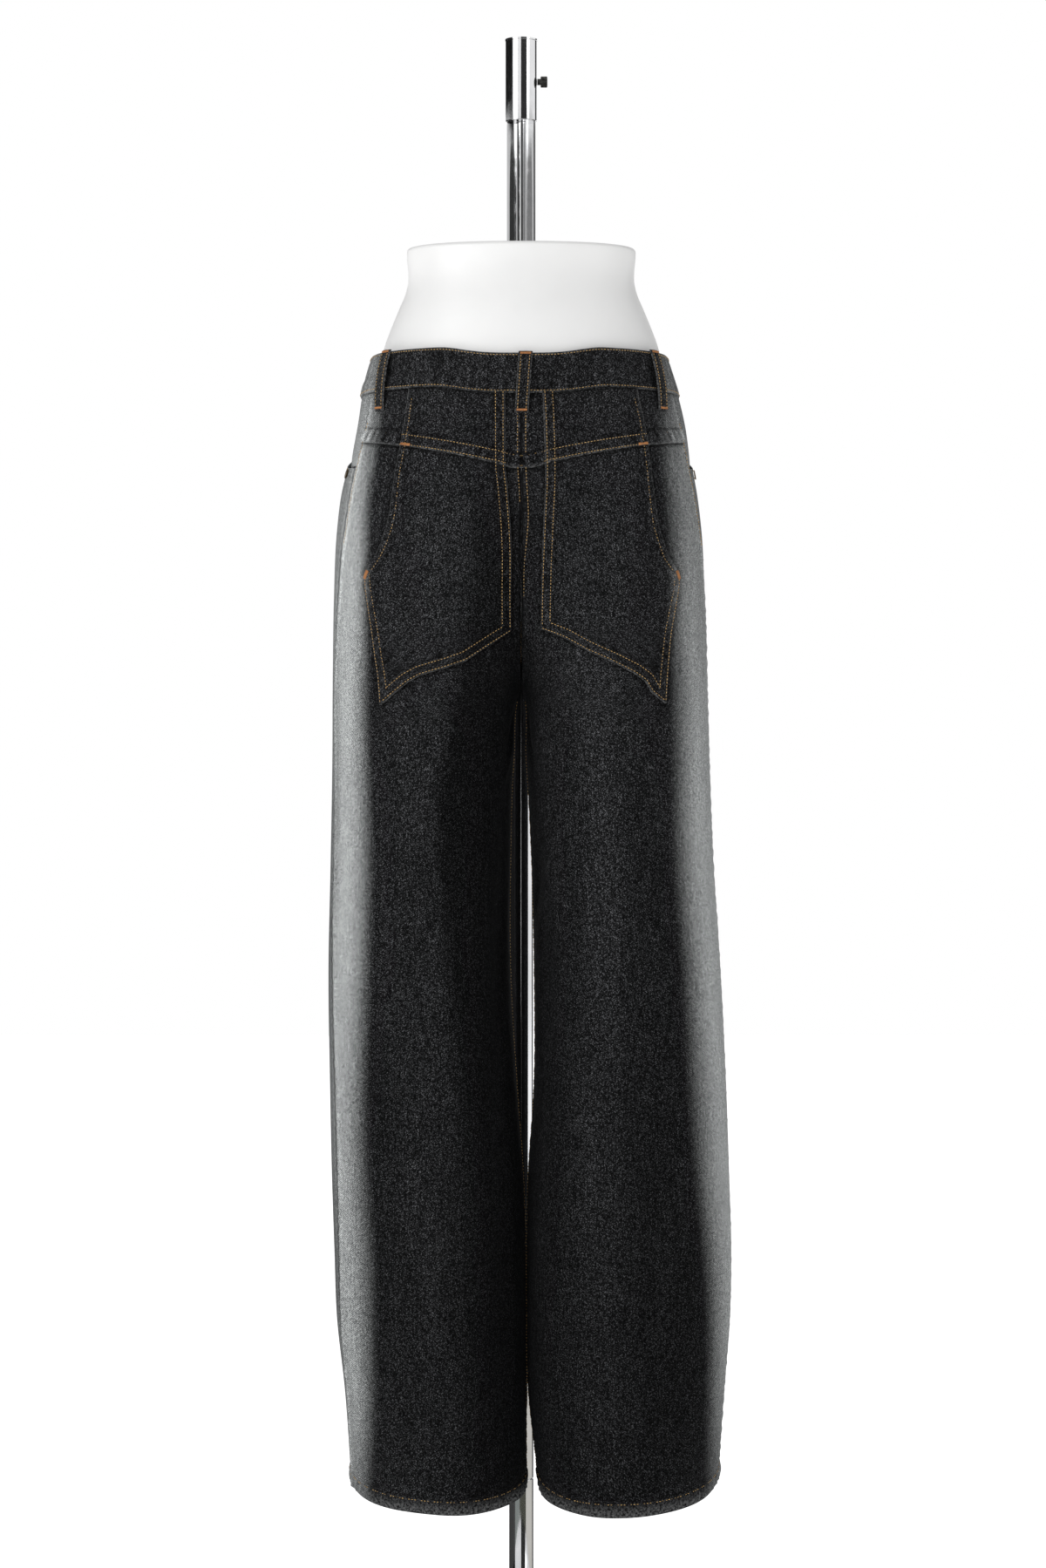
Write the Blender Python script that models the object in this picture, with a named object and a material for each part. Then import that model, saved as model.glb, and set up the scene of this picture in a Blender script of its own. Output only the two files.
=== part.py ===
"""Wide-leg jeans resting on a hip form, which hangs from a pole on a round base.

Metres, +Z up. The origin is the centre of the base's underside. +X is the wearer's right,
-Y is the garment's back and +Y its front.
"""

import math

import bmesh
import bpy
import numpy as np
from mathutils import Matrix, Vector

# Cloth
WALL = 0.0015  # one panel with its seam allowances
SEAM_GAP = 0.0003  # between neighbouring pieces
BAND_OUT = 0.0010  # how far the waistband's face stands proud of the panels
BAND_WALL = 0.0028
BAND_HEIGHT = 0.0370
WAIST_TOP = 1.2215
BACK_DIP = 0.0063  # how far the waistband dips at the centre back
FRONT_DIP = 0.0180
LAP = 0.0034  # how far the waistband's upper end stands over its lower end
CROTCH = 0.9094
HEM_TURN = 0.0130
HEM_SWELL = 0.0008  # the turned hem is thicker on both faces
HEM_LEAN = math.radians(15)
YOKE_CENTRE = 1.1090  # height of the yoke seam at the centre back
YOKE_RISE = 0.0300  # how much higher it is at the outseam
YOKE_REACH = 0.155
YOKE_CURVE = 0.8
YOKE_ROUND = 0.010  # how widely its point at the centre is rounded
MOUTH_LOW = 1.1135  # where the front pocket's mouth meets the outseam
MOUTH_TOP_ANGLE = math.radians(52)
FACING_DROP = 0.0028  # how far the hip facing lies under the front panel
FACING_LAP = math.radians(6)
FACING_INSET = math.radians(0.7)  # how far it stays inside the mouth at the corner
FACING_CORNER = 0.0120  # height over which it grows from that inset to its lap
POCKET_LIFT = 0.0009  # of the inner face over the panel, which leaves 0.3 mm over its facets

# The sections of each half, from the waist to the hem. A section is a rounded oval: outer and inner
# are its reach from the centre plane, and above the crotch it is cut at that plane. power is its
# squareness, and seam the outseam's direction in degrees, negative towards the back.
# Columns: z, outer, inner, back, front, power, seam.
SECTION_ROWS = {
    "left": (
        (1.2400, 0.1360, -0.1360, -0.0960, 0.0950, 2.20, -17),
        (1.2210, 0.1402, -0.1402, -0.0985, 0.0980, 2.20, -17),
        (1.1882, 0.1490, -0.1475, -0.1030, 0.1030, 2.20, -17),
        (1.1554, 0.1545, -0.1370, -0.1085, 0.1080, 2.22, -19),
        (1.1226, 0.1615, -0.1190, -0.1140, 0.1120, 2.25, -21),
        (1.0898, 0.1690, -0.1010, -0.1190, 0.1140, 2.28, -24),
        (1.0570, 0.1728, -0.0800, -0.1230, 0.1150, 2.30, -26),
        (0.9914, 0.1755, -0.0400, -0.1265, 0.1130, 2.30, -27),
        (0.9350, 0.1764, -0.0125, -0.1235, 0.1120, 2.30, -27),
        (0.9094, 0.1767, 0.0004, -0.1215, 0.1120, 2.30, -27),
        (0.8438, 0.1772, 0.0072, -0.1165, 0.1130, 2.25, -28),
        (0.7454, 0.1790, 0.0104, -0.1110, 0.1110, 2.20, -31),
        (0.6470, 0.1810, 0.0104, -0.1070, 0.1080, 2.20, -34),
        (0.5322, 0.1796, 0.0040, -0.1020, 0.1050, 2.20, -34),
        (0.4502, 0.1779, -0.0018, -0.0990, 0.1030, 2.20, -33),
        (0.3846, 0.1757, -0.0038, -0.0970, 0.1010, 2.20, -31),
        (0.3190, 0.1732, -0.0044, -0.0950, 0.0990, 2.20, -29),
        (0.2534, 0.1660, -0.0045, -0.0920, 0.0960, 2.18, -25),
        (0.1673, 0.1599, -0.0048, -0.0880, 0.0900, 2.15, -16),
        (0.1300, 0.1575, -0.0048, -0.0865, 0.0880, 2.15, -15),
    ),
    "right": (
        (1.2400, 0.1330, -0.1330, -0.0960, 0.0950, 2.20, -14),
        (1.2210, 0.1369, -0.1369, -0.0985, 0.0980, 2.20, -14),
        (1.1882, 0.1466, -0.1451, -0.1030, 0.1030, 2.20, -14),
        (1.1554, 0.1545, -0.1370, -0.1085, 0.1080, 2.22, -15),
        (1.1226, 0.1595, -0.1170, -0.1140, 0.1120, 2.25, -16),
        (1.0898, 0.1652, -0.0980, -0.1190, 0.1140, 2.28, -17),
        (1.0570, 0.1690, -0.0780, -0.1230, 0.1150, 2.30, -17),
        (0.9914, 0.1716, -0.0390, -0.1265, 0.1130, 2.30, -12),
        (0.9350, 0.1732, -0.0125, -0.1235, 0.1120, 2.30, -4),
        (0.9094, 0.1740, 0.0004, -0.1215, 0.1120, 2.30, -1),
        (0.8438, 0.1763, 0.0050, -0.1165, 0.1130, 2.25, 4),
        (0.7454, 0.1804, 0.0100, -0.1110, 0.1110, 2.20, 6),
        (0.6470, 0.1870, 0.0124, -0.1070, 0.1080, 2.20, 8),
        (0.5322, 0.1927, 0.0120, -0.1020, 0.1050, 2.20, 8),
        (0.4502, 0.1955, 0.0066, -0.0990, 0.1030, 2.20, 8),
        (0.3846, 0.1974, 0.0054, -0.0970, 0.1010, 2.20, 7),
        (0.3190, 0.1962, 0.0054, -0.0950, 0.0990, 2.20, 6),
        (0.2534, 0.1911, 0.0066, -0.0920, 0.0960, 2.18, 5),
        (0.1673, 0.1850, 0.0155, -0.0880, 0.0900, 2.15, 5),
        (0.1300, 0.1830, 0.0175, -0.0865, 0.0880, 2.15, 5),
    ),
}

# The largest soft folds: a ridge where depth is positive, a trough where it is negative. angle and
# width are in degrees round the section, and drift is how far it turns from its top to its bottom.
# Columns: side, angle, top, bottom, width, drift, depth.
FOLD_ROWS = (
    ("left", -118, 0.900, 0.180, 16, 10, 0.0040),
    ("left", -150, 0.880, 0.240, 12, 14, -0.0034),
    ("left", -72, 0.860, 0.160, 15, -8, -0.0036),
    ("left", -38, 0.820, 0.200, 13, 6, 0.0024),
    ("left", 40, 0.860, 0.170, 16, -8, -0.0036),
    ("left", 84, 0.900, 0.160, 18, 8, 0.0040),
    ("left", 135, 0.880, 0.220, 14, -12, -0.0032),
    ("right", -122, 0.905, 0.200, 16, -12, 0.0036),
    ("right", -84, 0.840, 0.160, 15, -12, -0.0038),
    ("right", -48, 0.880, 0.200, 14, 8, 0.0026),
    ("right", 46, 0.840, 0.180, 15, 10, -0.0034),
    ("right", 88, 0.900, 0.160, 18, -8, 0.0040),
    ("right", 132, 0.860, 0.230, 14, 10, -0.0034),
    ("right", -150, 0.800, 0.560, 14, 16, -0.0024),
)

# The back pockets: inner and outer are the edges' distances from the centre plane.
# Columns: z, inner, outer.
POCKET_TOP_ROWS = {
    "left": ((1.1790, 0.0145, 0.1030), (1.1560, 0.0145, 0.1060), (1.1300, 0.0145, 0.1105)),
    "right": ((1.1790, 0.0193, 0.1060), (1.1560, 0.0205, 0.1115), (1.1300, 0.0214, 0.1160)),
}
POCKET_ROWS = {
    "left": (
        (1.1300, 0.0145, 0.1105),
        (1.1076, 0.0143, 0.1150),
        (1.0925, 0.0125, 0.1169),
        (1.0719, 0.0108, 0.1193),
        (1.0568, 0.0098, 0.1224),
        (1.0417, 0.0092, 0.1275),
        (1.0286, 0.0090, 0.1336),
        (1.0150, 0.0092, 0.1425),
        (0.9985, 0.0096, 0.1415),
        (0.9800, 0.0098, 0.1388),
        (0.9615, 0.0099, 0.1360),
        (0.9562, 0.0176, 0.1353),
        (0.9510, 0.0254, 0.1347),
        (0.9420, 0.0385, 0.1336),
        (0.9340, 0.0503, 0.1325),
        (0.9272, 0.0692, 0.1314),
        (0.9205, 0.0915, 0.1305),
        (0.9145, 0.1022, 0.1300),
        (0.9057, 0.1129, 0.1293),
        (0.8938, 0.1268, 0.1286),
    ),
    "right": (
        (1.1300, 0.0214, 0.1160),
        (1.1076, 0.0218, 0.1188),
        (1.0925, 0.0216, 0.1204),
        (1.0719, 0.0207, 0.1228),
        (1.0568, 0.0200, 0.1252),
        (1.0417, 0.0195, 0.1298),
        (1.0286, 0.0190, 0.1345),
        (1.0150, 0.0187, 0.1440),
        (0.9985, 0.0185, 0.1428),
        (0.9800, 0.0184, 0.1395),
        (0.9630, 0.0185, 0.1366),
        (0.9590, 0.0290, 0.1360),
        (0.9542, 0.0405, 0.1355),
        (0.9480, 0.0510, 0.1349),
        (0.9423, 0.0610, 0.1344),
        (0.9331, 0.0815, 0.1337),
        (0.9224, 0.1021, 0.1329),
        (0.9153, 0.1116, 0.1325),
        (0.9057, 0.1171, 0.1320),
        (0.8954, 0.1297, 0.1315),
    ),
}

# Belt loops: the distances of a loop's top and bottom from the centre plane, to the wearer's right.
# Columns: name, face, top x, bottom x.
LOOP_ROWS = (
    ("belt_loop_centre_back", "back", 0.0040, 0.0002),
    ("belt_loop_back_left", "back", -0.1225, -0.1300),
    ("belt_loop_back_right", "back", 0.1208, 0.1300),
    ("belt_loop_front_left", "front", -0.0620, -0.0620),
    ("belt_loop_front_right", "front", 0.0620, 0.0620),
)
LOOP_WIDTH = 0.0128
LOOP_WALL = 0.0018
LOOP_BELOW = 0.0200  # how far a loop reaches below the waistband
LOOP_BOW = 0.0030
LOOP_LIFT = 0.0004  # of its inner face over the cloth at its two ends
LOOP_ABOVE = 0.0010  # how far it stands over the waistband at its top

# Hem: the height at the front, and how much lower the back hangs.
HEM_ROWS = {"left": (0.1718, 0.0200), "right": (0.1769, 0.0280)}  # columns: front z, drop

# Hip form above the waistband, and below it its clearance from the cloth's face.
# Columns: z, half width, back, front.
FORM_TOP = 1.3225
FORM_RIM = 0.0040
FORM_ROWS = (
    (FORM_TOP, 0.1078, -0.0640, 0.0640),
    (1.3128, 0.1074, -0.0655, 0.0655),
    (1.3014, 0.1063, -0.0680, 0.0680),
    (1.2899, 0.1064, -0.0715, 0.0715),
    (1.2784, 0.1093, -0.0755, 0.0755),
    (1.2669, 0.1142, -0.0798, 0.0796),
    (1.2554, 0.1190, -0.0838, 0.0832),
    (1.2440, 0.1236, -0.0872, 0.0863),
    (1.2325, 0.1278, -0.0902, 0.0890),
    (1.2210, 0.1310, -0.0928, 0.0908),
)
# Columns: z, side, back, front.
FORM_CLEARANCE_ROWS = (
    (1.1960, 0.0056, 0.0030, 0.0090),
    (1.1700, 0.0048, 0.0020, 0.0098),
    (1.1400, 0.0050, 0.0020, 0.0098),
    (1.1100, 0.0064, 0.0026, 0.0104),
    (1.0800, 0.0060, 0.0060, 0.0110),
    (1.0400, 0.0100, 0.0140, 0.0120),
    (1.0000, 0.0220, 0.0300, 0.0220),
    (0.9780, 0.0340, 0.0420, 0.0330),
)
FORM_POWER = 2.15
FORM_BOTTOM = 0.9740

# Stand
BASE_RADIUS = 0.210
BASE_HEIGHT = 0.006
BASE_BEVEL = 0.0015
POLE_Y = 0.165
POLE_RADIUS = 0.0120
POLE_JOINT = 0.1300
UPPER_POLE_RADIUS = 0.0142
UPPER_POLE_LOW = 1.1200
UPPER_POLE_TOP = 1.5000
SLEEVE_RADIUS = 0.0148
SLEEVE_LOW = 1.4424
SLEEVE_TOP = 1.5180
SLEEVE_LIP = 0.0022
SLEEVE_LIP_OUT = 0.0004
ARM_WIDTH = 0.0180
ARM_HEIGHT = 0.0240
ARM_Z = 1.4800
SCREW_Z = 1.4800
SCREW_RADIUS = 0.0052
SCREW_NECK_RADIUS = 0.0030
SCREW_NECK = 0.0030
SCREW_HEAD = 0.0065
ROD_RADIUS = 0.0045
COLLAR_RADIUS = 0.0100
COLLAR_HEIGHT = 0.0060

# Small metal
RIVET_RADIUS = 0.0045
RIVET_HEIGHT = 0.0012
BUTTON_RADIUS = 0.0085
BUTTON_HEIGHT = 0.0030
BUTTON_X = 0.0040

# How finely the solids are divided
BACK_COLUMNS = 16
FRONT_COLUMNS = 16
BAND_COLUMNS = 18
FACING_COLUMNS = 7
POCKET_STEPS = 12
FORM_STEPS = 36
FRONT_TOP_SHARES = (1.0, 0.78, 0.56, 0.36, 0.20, 0.08, 0.02, 0.0)  # rows up the pocket's mouth
FRONT_TOP_LOW = 1.1000  # where those rows end at the centre front

# The rows of the leg panels. Round the crotch a row is higher at its inner end, because the inner
# edge turns under there and is longer than the outseam.
# Columns: inner z, outer z.
ROW_TABLE = (
    (1.0850, 1.0850),
    (1.0600, 1.0570),
    (1.0350, 1.0290),
    (1.0100, 1.0010),
    (0.9850, 0.9740),
    (0.9620, 0.9480),
    (0.9420, 0.9230),
    (0.9270, 0.9010),
    (0.9170, 0.8820),
    (0.9115, 0.8660),
    (CROTCH, 0.8520),
    (0.8900, 0.8360),
    (0.8620, 0.8160),
    (0.8260, 0.7900),
    (0.7800, 0.7560),
    (0.7280, 0.7150),
    (0.6700, 0.6650),
    (0.6100, 0.6100),
    (0.5500, 0.5500),
    (0.4900, 0.4900),
    (0.4300, 0.4300),
    (0.3700, 0.3700),
    (0.3100, 0.3100),
    (0.2600, 0.2600),
    (0.2120, 0.2120),
)
NORMAL_STEP = 0.0005
SIGN = {"left": -1.0, "right": 1.0}


class Profile:
    """The columns of a table whose first column is a height, on smooth curves through its rows."""

    def __init__(self, rows):
        table = np.array(rows, float)[::-1]
        self.z = table[:, 0]
        self.values = table[:, 1:]
        self.slopes = np.gradient(self.values, self.z, axis=0)

    def at(self, z):
        z = np.clip(np.asarray(z, float), self.z[0], self.z[-1])
        i = np.clip(np.searchsorted(self.z, z) - 1, 0, len(self.z) - 2)
        step = (self.z[i + 1] - self.z[i])[..., None]
        s = (z - self.z[i])[..., None] / step
        low = (1 + 2 * s) * (1 - s) ** 2 * self.values[i] + step * s * (1 - s) ** 2 * self.slopes[i]
        high = s * s * (3 - 2 * s) * self.values[i + 1] - step * s * s * (1 - s) * self.slopes[i + 1]
        return np.moveaxis(low + high, -1, 0)


SECTIONS = {side: Profile(rows) for side, rows in SECTION_ROWS.items()}


def soft_step(value):
    """0 below 0, 1 above 1, and smooth between."""
    value = np.clip(value, 0, 1)
    return value * value * (3 - 2 * value)


def fold_height(side, angle, z):
    """How far the folds lift or sink the cloth."""
    lift = np.zeros(np.broadcast(angle, z).shape)
    for fold_side, start, top, bottom, width, drift, depth in FOLD_ROWS:
        if fold_side != side:
            continue
        along = (top - z) / (top - bottom)
        fade = soft_step(along / 0.35) * soft_step((1.12 - along) / 0.25)
        away = angle - np.radians(start + drift * along)
        away = (away + math.pi) % (2 * math.pi) - math.pi
        lift = lift + depth * fade * np.exp(-((away / math.radians(width)) ** 2))
    return lift


def oval(side, z):
    """Centre, reach, middle, depth and squareness of a half's section."""
    outer, inner, back, front, power, _ = SECTIONS[side].at(z)
    return (outer + inner) / 2, (outer - inner) / 2, (front + back) / 2, (front - back) / 2, power


def ring(side, angle, z):
    """The half's face at a direction angle, with x growing away from the centre plane.

    The angle is 0 at the outer side, 90 degrees at the front and 180 at the inseam, and negative
    round the back.
    """
    centre, reach, middle, depth, power = oval(side, z)
    across, along = np.cos(angle), np.sin(angle)
    radius = ((np.abs(across) / reach) ** power + (np.abs(along) / depth) ** power) ** (-1 / power)
    radius = radius + fold_height(side, angle, z)
    x, y, z = np.broadcast_arrays(centre + radius * across, middle + radius * along, z)
    return np.stack((x, y, z), axis=-1)


def surface(side, angle, z, out=0.0):
    """A point of the cloth's outer face in the world, moved out along the face's normal."""
    angle, z = np.broadcast_arrays(np.asarray(angle, float), np.asarray(z, float))
    point = ring(side, angle, z)
    turn = ring(side, angle + 4 * NORMAL_STEP, z) - ring(side, angle - 4 * NORMAL_STEP, z)
    rise = ring(side, angle, z + NORMAL_STEP) - ring(side, angle, z - NORMAL_STEP)
    normal = np.cross(turn, rise)
    normal /= np.linalg.norm(normal, axis=-1, keepdims=True)
    moved = point + normal * np.asarray(out)[..., None]
    above = z > CROTCH
    moved[..., 0] = np.where(above, np.maximum(moved[..., 0], SEAM_GAP / 2), moved[..., 0])
    return moved * np.array((SIGN[side], 1.0, 1.0))


def angle_at(side, x, z, face):
    """The direction angle of the face's point at distance x from the centre plane."""
    centre, reach, _, depth, power = oval(side, z)
    across = np.clip((np.asarray(x) - centre) / reach, -1, 1)
    along = depth * (1 - np.abs(across) ** power) ** (1 / power)
    angle = np.arctan2(along, across * reach)
    return angle if face == "front" else -angle


def inner_angle(side, z):
    """Where a panel ends: at the inseam below the crotch, and at the centre plane above it."""
    _, reach, _, _, _ = oval(side, z)
    inseam = math.pi - SEAM_GAP / 2 / reach
    centre_plane = angle_at(side, SEAM_GAP / 2, z, "front")
    return np.where(z > CROTCH, np.minimum(centre_plane, inseam), inseam)


def back_inner(side, z):
    return -inner_angle(side, z)


def seam_angle(side, z, gaps):
    """The outseam's direction, moved forward by a number of half seam gaps."""
    _, reach, _, _, _ = oval(side, z)
    return np.radians(SECTIONS[side].at(z)[5]) + gaps * SEAM_GAP / 2 / reach


def back_outer(side, z):
    return seam_angle(side, z, -1)


def mouth_angle(side, z):
    """The front pocket's mouth, which is the outseam at its lower end."""
    share = np.clip((z - MOUTH_LOW) / (WAIST_TOP - BAND_HEIGHT - MOUTH_LOW), 0, 1)
    seam = seam_angle(side, z, 1)
    return seam + (MOUTH_TOP_ANGLE - seam) * share**0.5


def facing_end(side, z):
    """The hip facing's hidden edge, which laps under the front panel except at the mouth's corner."""
    share = np.clip((z - MOUTH_LOW) / FACING_CORNER, 0, 1)
    return mouth_angle(side, z) + FACING_LAP * share - FACING_INSET * (1 - share)


def level(inner, outer):
    """A row of a panel between two heights."""
    return lambda side, angle, share: inner * (1 - share) + outer * share


def along(line):
    """A row of a panel along a seam or hem, whose height is given by the angle."""
    return lambda side, angle, share: line(side, angle)


def waist_top(side, angle):
    back = soft_step((-np.sin(angle) - 0.75) / 0.25)
    front = ((1 + np.sin(angle)) / 2) ** 3
    return WAIST_TOP - BACK_DIP * back - FRONT_DIP * front


def waist_seam(side, angle):
    return waist_top(side, angle) - BAND_HEIGHT


def below_waist_seam(side, angle):
    return waist_seam(side, angle) - SEAM_GAP


def yoke_seam(side, angle):
    """The curved V between yoke and back panel, rounded at the centre."""
    x = ring(side, angle, YOKE_CENTRE + YOKE_RISE / 2)[..., 0]
    away = np.hypot(x, YOKE_ROUND) - YOKE_ROUND
    return YOKE_CENTRE + YOKE_RISE * np.minimum(away / YOKE_REACH, 1.1) ** YOKE_CURVE


def below_yoke_seam(side, angle):
    return yoke_seam(side, angle) - SEAM_GAP


def hem(side, angle):
    front, drop = HEM_ROWS[side]
    return front - drop * ((1 - np.sin(angle + HEM_LEAN)) / 2) ** 1.5


def above_hem(side, angle):
    return hem(side, angle) + HEM_TURN


def between(low, high, part):
    """A row of a panel at a part of the way from one seam up to another."""
    return lambda side, angle, share: low(side, angle) * (1 - part) + high(side, angle) * part


def front_top_row(step, outer_part):
    """A row of the front panel between the waistband and the foot of the pocket's mouth."""

    def height(side, angle, share):
        base = FRONT_TOP_LOW * (1 - share) + MOUTH_LOW * share
        part = (1 - step) * (1 - share) + outer_part * share
        return base + part * (below_waist_seam(side, angle) - base)

    return height


def mouth_row(part):
    """A row of the hip facing between the foot of the pocket's mouth and the waistband."""
    return lambda side, angle, share: MOUTH_LOW + part * (below_waist_seam(side, angle) - MOUTH_LOW)


def panel_grid(side, rows, inner_edge, outer_edge, columns):
    """The angles and heights of a panel's points, from its inner edge to its outer one. Each row
    gives the heights along it, and each edge the angle at a height."""
    share = np.linspace(0, 1, columns + 1)
    angles, heights = [], []
    for row in rows:
        angle = np.full(columns + 1, inner_edge(side, CROTCH) / 2)
        for _ in range(8):
            z = row(side, angle, share)
            angle = inner_edge(side, z[0]) * (1 - share) + outer_edge(side, z[-1]) * share
        angles.append(angle)
        heights.append(z)
    return np.array(angles), np.array(heights)


def principled(name, colour, roughness, metallic=0.0):
    material = bpy.data.materials.new(name)
    material.use_nodes = True
    shader = material.node_tree.nodes["Principled BSDF"]
    shader.inputs["Base Color"].default_value = (*colour, 1.0)
    shader.inputs["Roughness"].default_value = roughness
    shader.inputs["Metallic"].default_value = metallic
    material.diffuse_color = (*colour, 1.0)
    return material


def place(name, bm, material):
    """Finishes a mesh as an object of the garment's collection."""
    mesh = bpy.data.meshes.new(name)
    bm.to_mesh(mesh)
    bm.free()
    mesh.materials.append(material)
    item = bpy.data.objects.new(name, mesh)
    bpy.data.collections["jeans_on_hip_form"].objects.link(item)
    mesh.shade_smooth()
    mesh.set_sharp_from_angle(angle=math.radians(40))
    return item


def wall(name, outer, inner, material):
    """A loft between two grids of points, closed round their rims. Each square of a grid is split
    along its shorter diagonal."""
    rows, columns = outer.shape[:2]
    bm = bmesh.new()
    sheets = [[[bm.verts.new(p) for p in row] for row in grid] for grid in (outer, inner)]
    for sheet, turned in zip(sheets, (False, True)):
        for r in range(rows - 1):
            for c in range(columns - 1):
                a, b = sheet[r][c], sheet[r][c + 1]
                d, e = sheet[r + 1][c], sheet[r + 1][c + 1]
                falling = np.linalg.norm(outer[r + 1, c + 1] - outer[r, c])
                rising = np.linalg.norm(outer[r + 1, c] - outer[r, c + 1])
                halves = ((a, b, e), (a, e, d)) if falling <= rising else ((a, b, d), (b, e, d))
                for face in halves:
                    bm.faces.new(face[::-1] if turned else face)
    around = [(0, c) for c in range(columns)]
    around += [(r, columns - 1) for r in range(1, rows)]
    around += [(rows - 1, c) for c in range(columns - 2, -1, -1)]
    around += [(r, 0) for r in range(rows - 2, 0, -1)]
    for (r, c), (s, d) in zip(around, around[1:] + around[:1]):
        bm.faces.new((sheets[0][s][d], sheets[0][r][c], sheets[1][r][c], sheets[1][s][d]))
    bmesh.ops.recalc_face_normals(bm, faces=bm.faces)
    return place(name, bm, material)


def panel(name, side, grid, material, swell=False):
    """A panel of one layer, thicker at its turned hem."""
    angles, heights = grid
    extra = np.zeros_like(heights)
    if swell:
        extra[-2:] = HEM_SWELL
    outer = surface(side, angles, heights, extra)
    inner = surface(side, angles, heights, -WALL - extra)
    return wall(name, outer, inner, material)


def leg_rows():
    """The rows that the front and back panels share."""
    return [level(inner, outer) for inner, outer in ROW_TABLE] + [along(above_hem), along(hem)]


def back_panel(side, material):
    rows = [along(below_yoke_seam)] + leg_rows()
    grid = panel_grid(side, rows, back_inner, back_outer, BACK_COLUMNS)
    panel("back_" + side, side, grid, material, swell=True)


def yoke(side, material):
    rows = [between(yoke_seam, below_waist_seam, part) for part in (1.0, 0.66, 0.33, 0.0)]
    grid = panel_grid(side, rows, back_inner, back_outer, BACK_COLUMNS)
    panel("yoke_" + side, side, grid, material)


def front_panel(side, material):
    steps = len(FRONT_TOP_SHARES) - 1
    rows = [front_top_row(k / steps, part) for k, part in enumerate(FRONT_TOP_SHARES)]
    grid = panel_grid(side, rows + leg_rows(), inner_angle, mouth_angle, FRONT_COLUMNS)
    panel("front_" + side, side, grid, material, swell=True)


def facing_start(side, z):
    return seam_angle(side, z, 1)


def facing(side, material):
    """The hip facing: level with the back at the outseam, and under the front at the mouth."""
    rows = [mouth_row(part) for part in (1.0, 0.75, 0.5, 0.28, 0.12, 0.03)]
    angles, heights = panel_grid(side, rows, facing_start, facing_end, FACING_COLUMNS)
    start = facing_start(side, heights)
    run = (angles - start) / (mouth_angle(side, heights) - start)
    drop = FACING_DROP * soft_step(run / 0.8)
    outer = surface(side, angles, heights, -drop)
    inner = surface(side, angles, heights, -drop - WALL)
    wall("hip_facing_" + side, outer, inner, material)


def band_stations():
    """Side, share of the half's front-to-back angle and raise of each of the waistband's columns,
    from its lower end on the wearer's right front round the back to the end that laps over it."""
    shares = np.linspace(0, 1, BAND_COLUMNS + 1)
    stations = [("left", 0.95, 0.0), ("left", 0.975, 0.0)]
    stations += [("right", share, 0.0) for share in shares[::-1]]
    for share in shares[1:]:
        stations.append(("left", share, LAP * soft_step((share - 0.88) / 0.055)))
    stations += [("right", 0.96, LAP), ("right", 0.93, LAP)]
    return stations


def waistband(material):
    faces = []
    for out in (BAND_OUT, BAND_OUT - BAND_WALL):
        columns = []
        for side, share, lift in band_stations():
            start, end = -inner_angle(side, WAIST_TOP), inner_angle(side, WAIST_TOP)
            angle = np.full(4, start * (1 - share) + end * share)
            height = np.linspace(0, 1, 4)
            z = waist_top(side, angle) - BAND_HEIGHT * height
            columns.append(surface(side, angle, z, out + lift))
        faces.append(np.stack(columns, axis=1))
    wall("waistband", faces[0], faces[1], material)


def face_point(x, z, face, out):
    """A point of the back or front at signed distance x from the centre plane, moved out."""
    side = "left" if x < 0 else "right"
    return surface(side, angle_at(side, abs(x), z, face), z, out)


def back_pocket(side, material):
    """The overlay in two parts, which meet along the yoke seam."""
    for name, rows, top, bottom in (
        ("pocket_upper_", POCKET_TOP_ROWS[side], below_waist_seam, yoke_seam),
        ("pocket_", POCKET_ROWS[side], below_yoke_seam, None),
    ):
        edges = np.array([row[1:] for row in rows])
        heights = np.repeat(np.array([row[0] for row in rows])[:, None], POCKET_STEPS + 1, axis=1)
        share = np.linspace(0, 1, POCKET_STEPS + 1)
        for _ in range(5):
            first = angle_at(side, edges[:, :1], heights, "back")
            last = angle_at(side, edges[:, 1:], heights, "back")
            angles = first * (1 - share) + last * share
            heights[0] = top(side, angles[0])
            if bottom is not None:
                heights[-1] = bottom(side, angles[-1])
                heights[1] = (heights[0] + heights[-1]) / 2
        outer = surface(side, angles, heights, POCKET_LIFT + WALL)
        inner = surface(side, angles, heights, POCKET_LIFT)
        wall(name + side, outer, inner, material)


def belt_loop(name, face, top_x, bottom_x, material):
    """A strap over the waistband, bowed between its two tacks. Its width is measured on the cloth, so
    that seen from the back it is narrower where the cloth turns away."""
    across = np.linspace(-LOOP_WIDTH / 2, LOOP_WIDTH / 2, 3)
    along = np.linspace(0, 1, 8)
    faces = []
    for out in (LOOP_WALL, 0.0):
        grid = np.zeros((len(along), len(across), 3))
        for r, share in enumerate(along):
            centre = top_x * (1 - share) + bottom_x * share
            side = "left" if centre < 0 else "right"
            top = waist_top(side, angle_at(side, abs(centre), WAIST_TOP, face))
            z = top + LOOP_ABOVE - share * (BAND_HEIGHT + LOOP_BELOW)
            lift = BAND_OUT * (1 - share) + LOOP_LIFT + LOOP_BOW * math.sin(math.pi * share) ** 0.8
            outwards = face_point(centre, z, face, LOOP_WALL) - face_point(centre, z, face, 0.0)
            turned = abs(outwards[1]) / LOOP_WALL
            for c, offset in enumerate(across):
                grid[r, c] = face_point(centre + offset * turned, z, face, lift + out)
        faces.append(grid)
    wall(name, faces[0], faces[1], material)


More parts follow.
